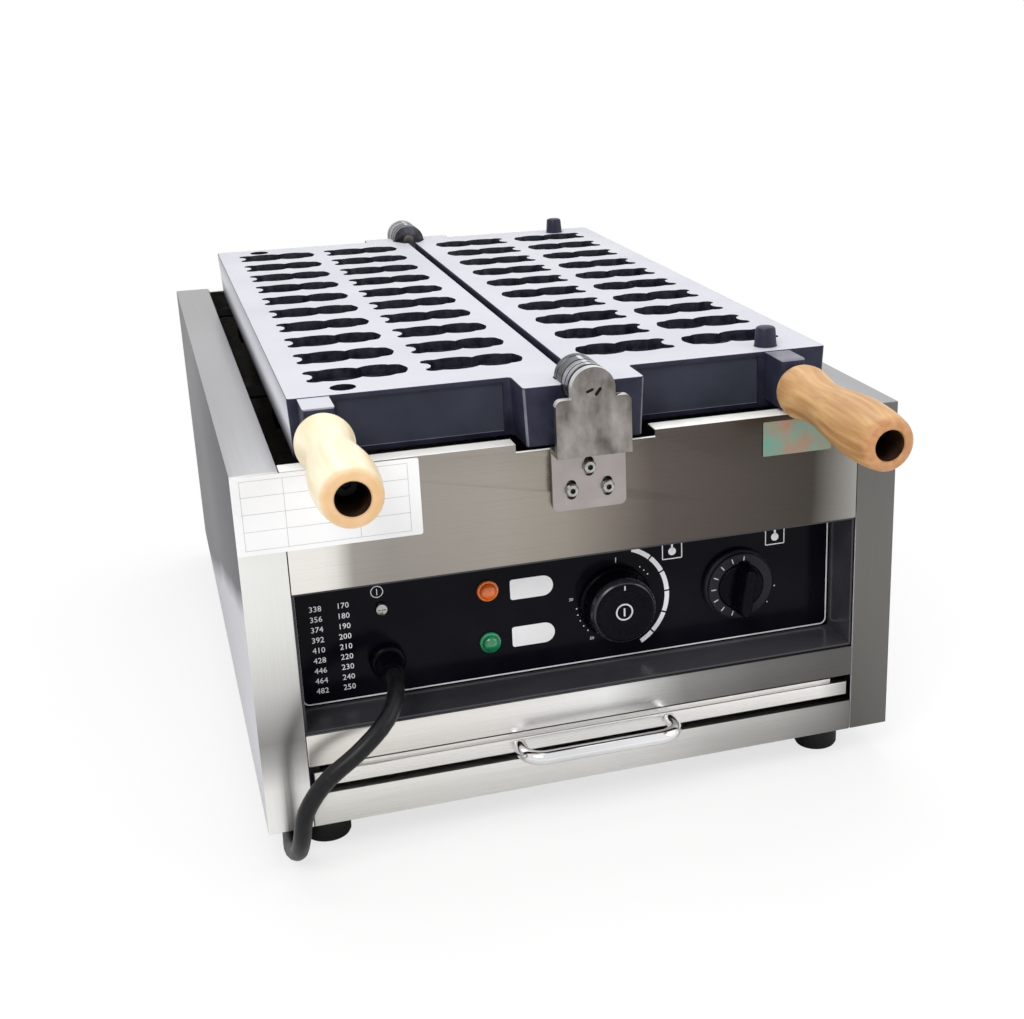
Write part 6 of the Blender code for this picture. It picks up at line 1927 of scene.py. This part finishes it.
@dataclass
class MainsCord(Assembly):
    """The cord from the gland to the table and on to its stored coil, with its plug."""

    radius: float = 0.00475
    exit: Point = (-0.1115, -0.2061, 0.0996)
    route: tuple[Point, ...] = (
        (-0.1119, -0.2155, 0.0990), (-0.1162, -0.2287, 0.0930), (-0.1245, -0.2385, 0.0862),
        (-0.1390, -0.2450, 0.0765), (-0.1570, -0.2460, 0.0635), (-0.1685, -0.2440, 0.0465),
        (-0.1716, -0.2388, 0.0285), (-0.1732, -0.2270, 0.0138), (-0.1752, -0.2095, 0.0060),
        (-0.1740, -0.1870, 0.0049), (-0.1735, -0.1650, 0.0049), (-0.1680, -0.1100, 0.0049),
        (-0.1500, -0.0300, 0.0049), (-0.1280, 0.0600, 0.0049), (-0.1120, 0.1500, 0.0049),
        (-0.1020, 0.2200, 0.0049), (-0.0920, 0.2850, 0.0049), (-0.0865, 0.3400, 0.0049))
    coil_centre: Pair = (-0.0300, 0.42275)
    loop_radius: float = 0.0560
    loop_pitch: float = 0.0101
    layer_turns: float = 1.32
    climb_turns: float = 0.5
    loop_points: int = 24

    def coil(self) -> list[Vector]:
        """The coil's centre line: one layer in, a step up, and one layer out."""
        total = 2 * self.layer_turns + self.climb_turns
        steps = round(total * self.loop_points)
        middle = self.layer_turns + self.climb_turns / 2
        spots = []
        for i in range(steps + 1):
            turn = total * i / steps
            radius = self.loop_radius - self.loop_pitch * (middle - abs(turn - middle))
            climb = min(1, max(0, (turn - self.layer_turns) / self.climb_turns))
            height = self.radius + self.loop_pitch * (1 - math.cos(math.pi * climb)) / 2
            angle = math.pi - math.tau * turn
            spots.append(Vector((self.coil_centre[0] + radius * math.cos(angle),
                                 self.coil_centre[1] + radius * math.sin(angle), height)))
        return spots

    def build(self) -> None:
        """Make the cord and its plug."""
        coil = self.coil()
        way = coil[-1] - coil[-2]
        way.z = 0
        way.normalize()
        ahead = Vector((0, self.radius, 0))
        arrival = coil[0] - 2 * ahead
        start = Vector(self.exit)
        lead = smooth_line([start - ahead, *[Vector(p) for p in self.route], arrival - 2 * ahead], 0.0060)
        last = coil[-1] + way * 2 * self.radius
        points = [start, *lead, arrival, *coil, last]
        data = bpy.data.curves.new("mains_lead", "CURVE")
        data.dimensions = "3D"
        data.bevel_depth = self.radius
        data.bevel_resolution = 6
        data.use_fill_caps = True
        spline = data.splines.new("POLY")
        spline.points.add(len(points) - 1)
        for knot, point in zip(spline.points, points):
            knot.co = (*point, 1)
        data.materials.append(CORD_RUBBER.material())
        cord = link("mains_lead", data)
        self.hand_over(cord, "mains_cord", ["mains_cord", "cord_coil"])
        plug = self.build_plug(last, way)

    def build_plug(self, last: Vector, way: Vector) -> bpy.types.Object:
        """A round plug with two pins and a tapered tail.

        Args:
            last: where the cord ends.
            way: which way it points there.

        Returns:
            The plug.
        """
        tail, length = 0.0240, 0.0460
        front = tail + length
        profile = [(0, front), (0.0125, front), (0.0138, front - 0.0010),
                   (0.0145, tail + length * 0.93), (0.0145, tail + length * 0.40), (0.0138, tail + length * 0.28),
                   (0.0116, tail + length * 0.12), (0.0088, tail + length * 0.03), (0.0070, tail), (0.0062, tail * 0.5),
                   (0.0053, 0), (0, 0)]
        place = facing(last + way * FIT, way)
        plug = self.place("mains_plug_body", Shape().lathe(profile, 56), CORD_RUBBER, place)
        for x in (-0.0095, 0.0095):
            carve(plug, Shape().rod((x, 0, front - 0.009), (x, 0, front + 0.0190), 0.0024, 24), "UNION")
        tint(plug, PLAIN_STEEL, lambda face: face.center.z > front + 0.0001)
        plug.data.transform(plug.matrix_world)
        plug.matrix_world = Matrix.Identity(4)
        return self.hand_over(plug, "mains_plug")


def main() -> None:
    """Load the frame and build everything in order."""
    logging.basicConfig(level=logging.INFO, format="%(name)s: %(message)s")
    FRAME.update(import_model())
    Studio().build()
    MainsCord().build()
    Casing().build()
    ControlPanel().build()
    HingeLine().build()
    for side in Side:
        Mould(side=side).build()
    CrumbTray().build()


if __name__ == "__main__":
    main()
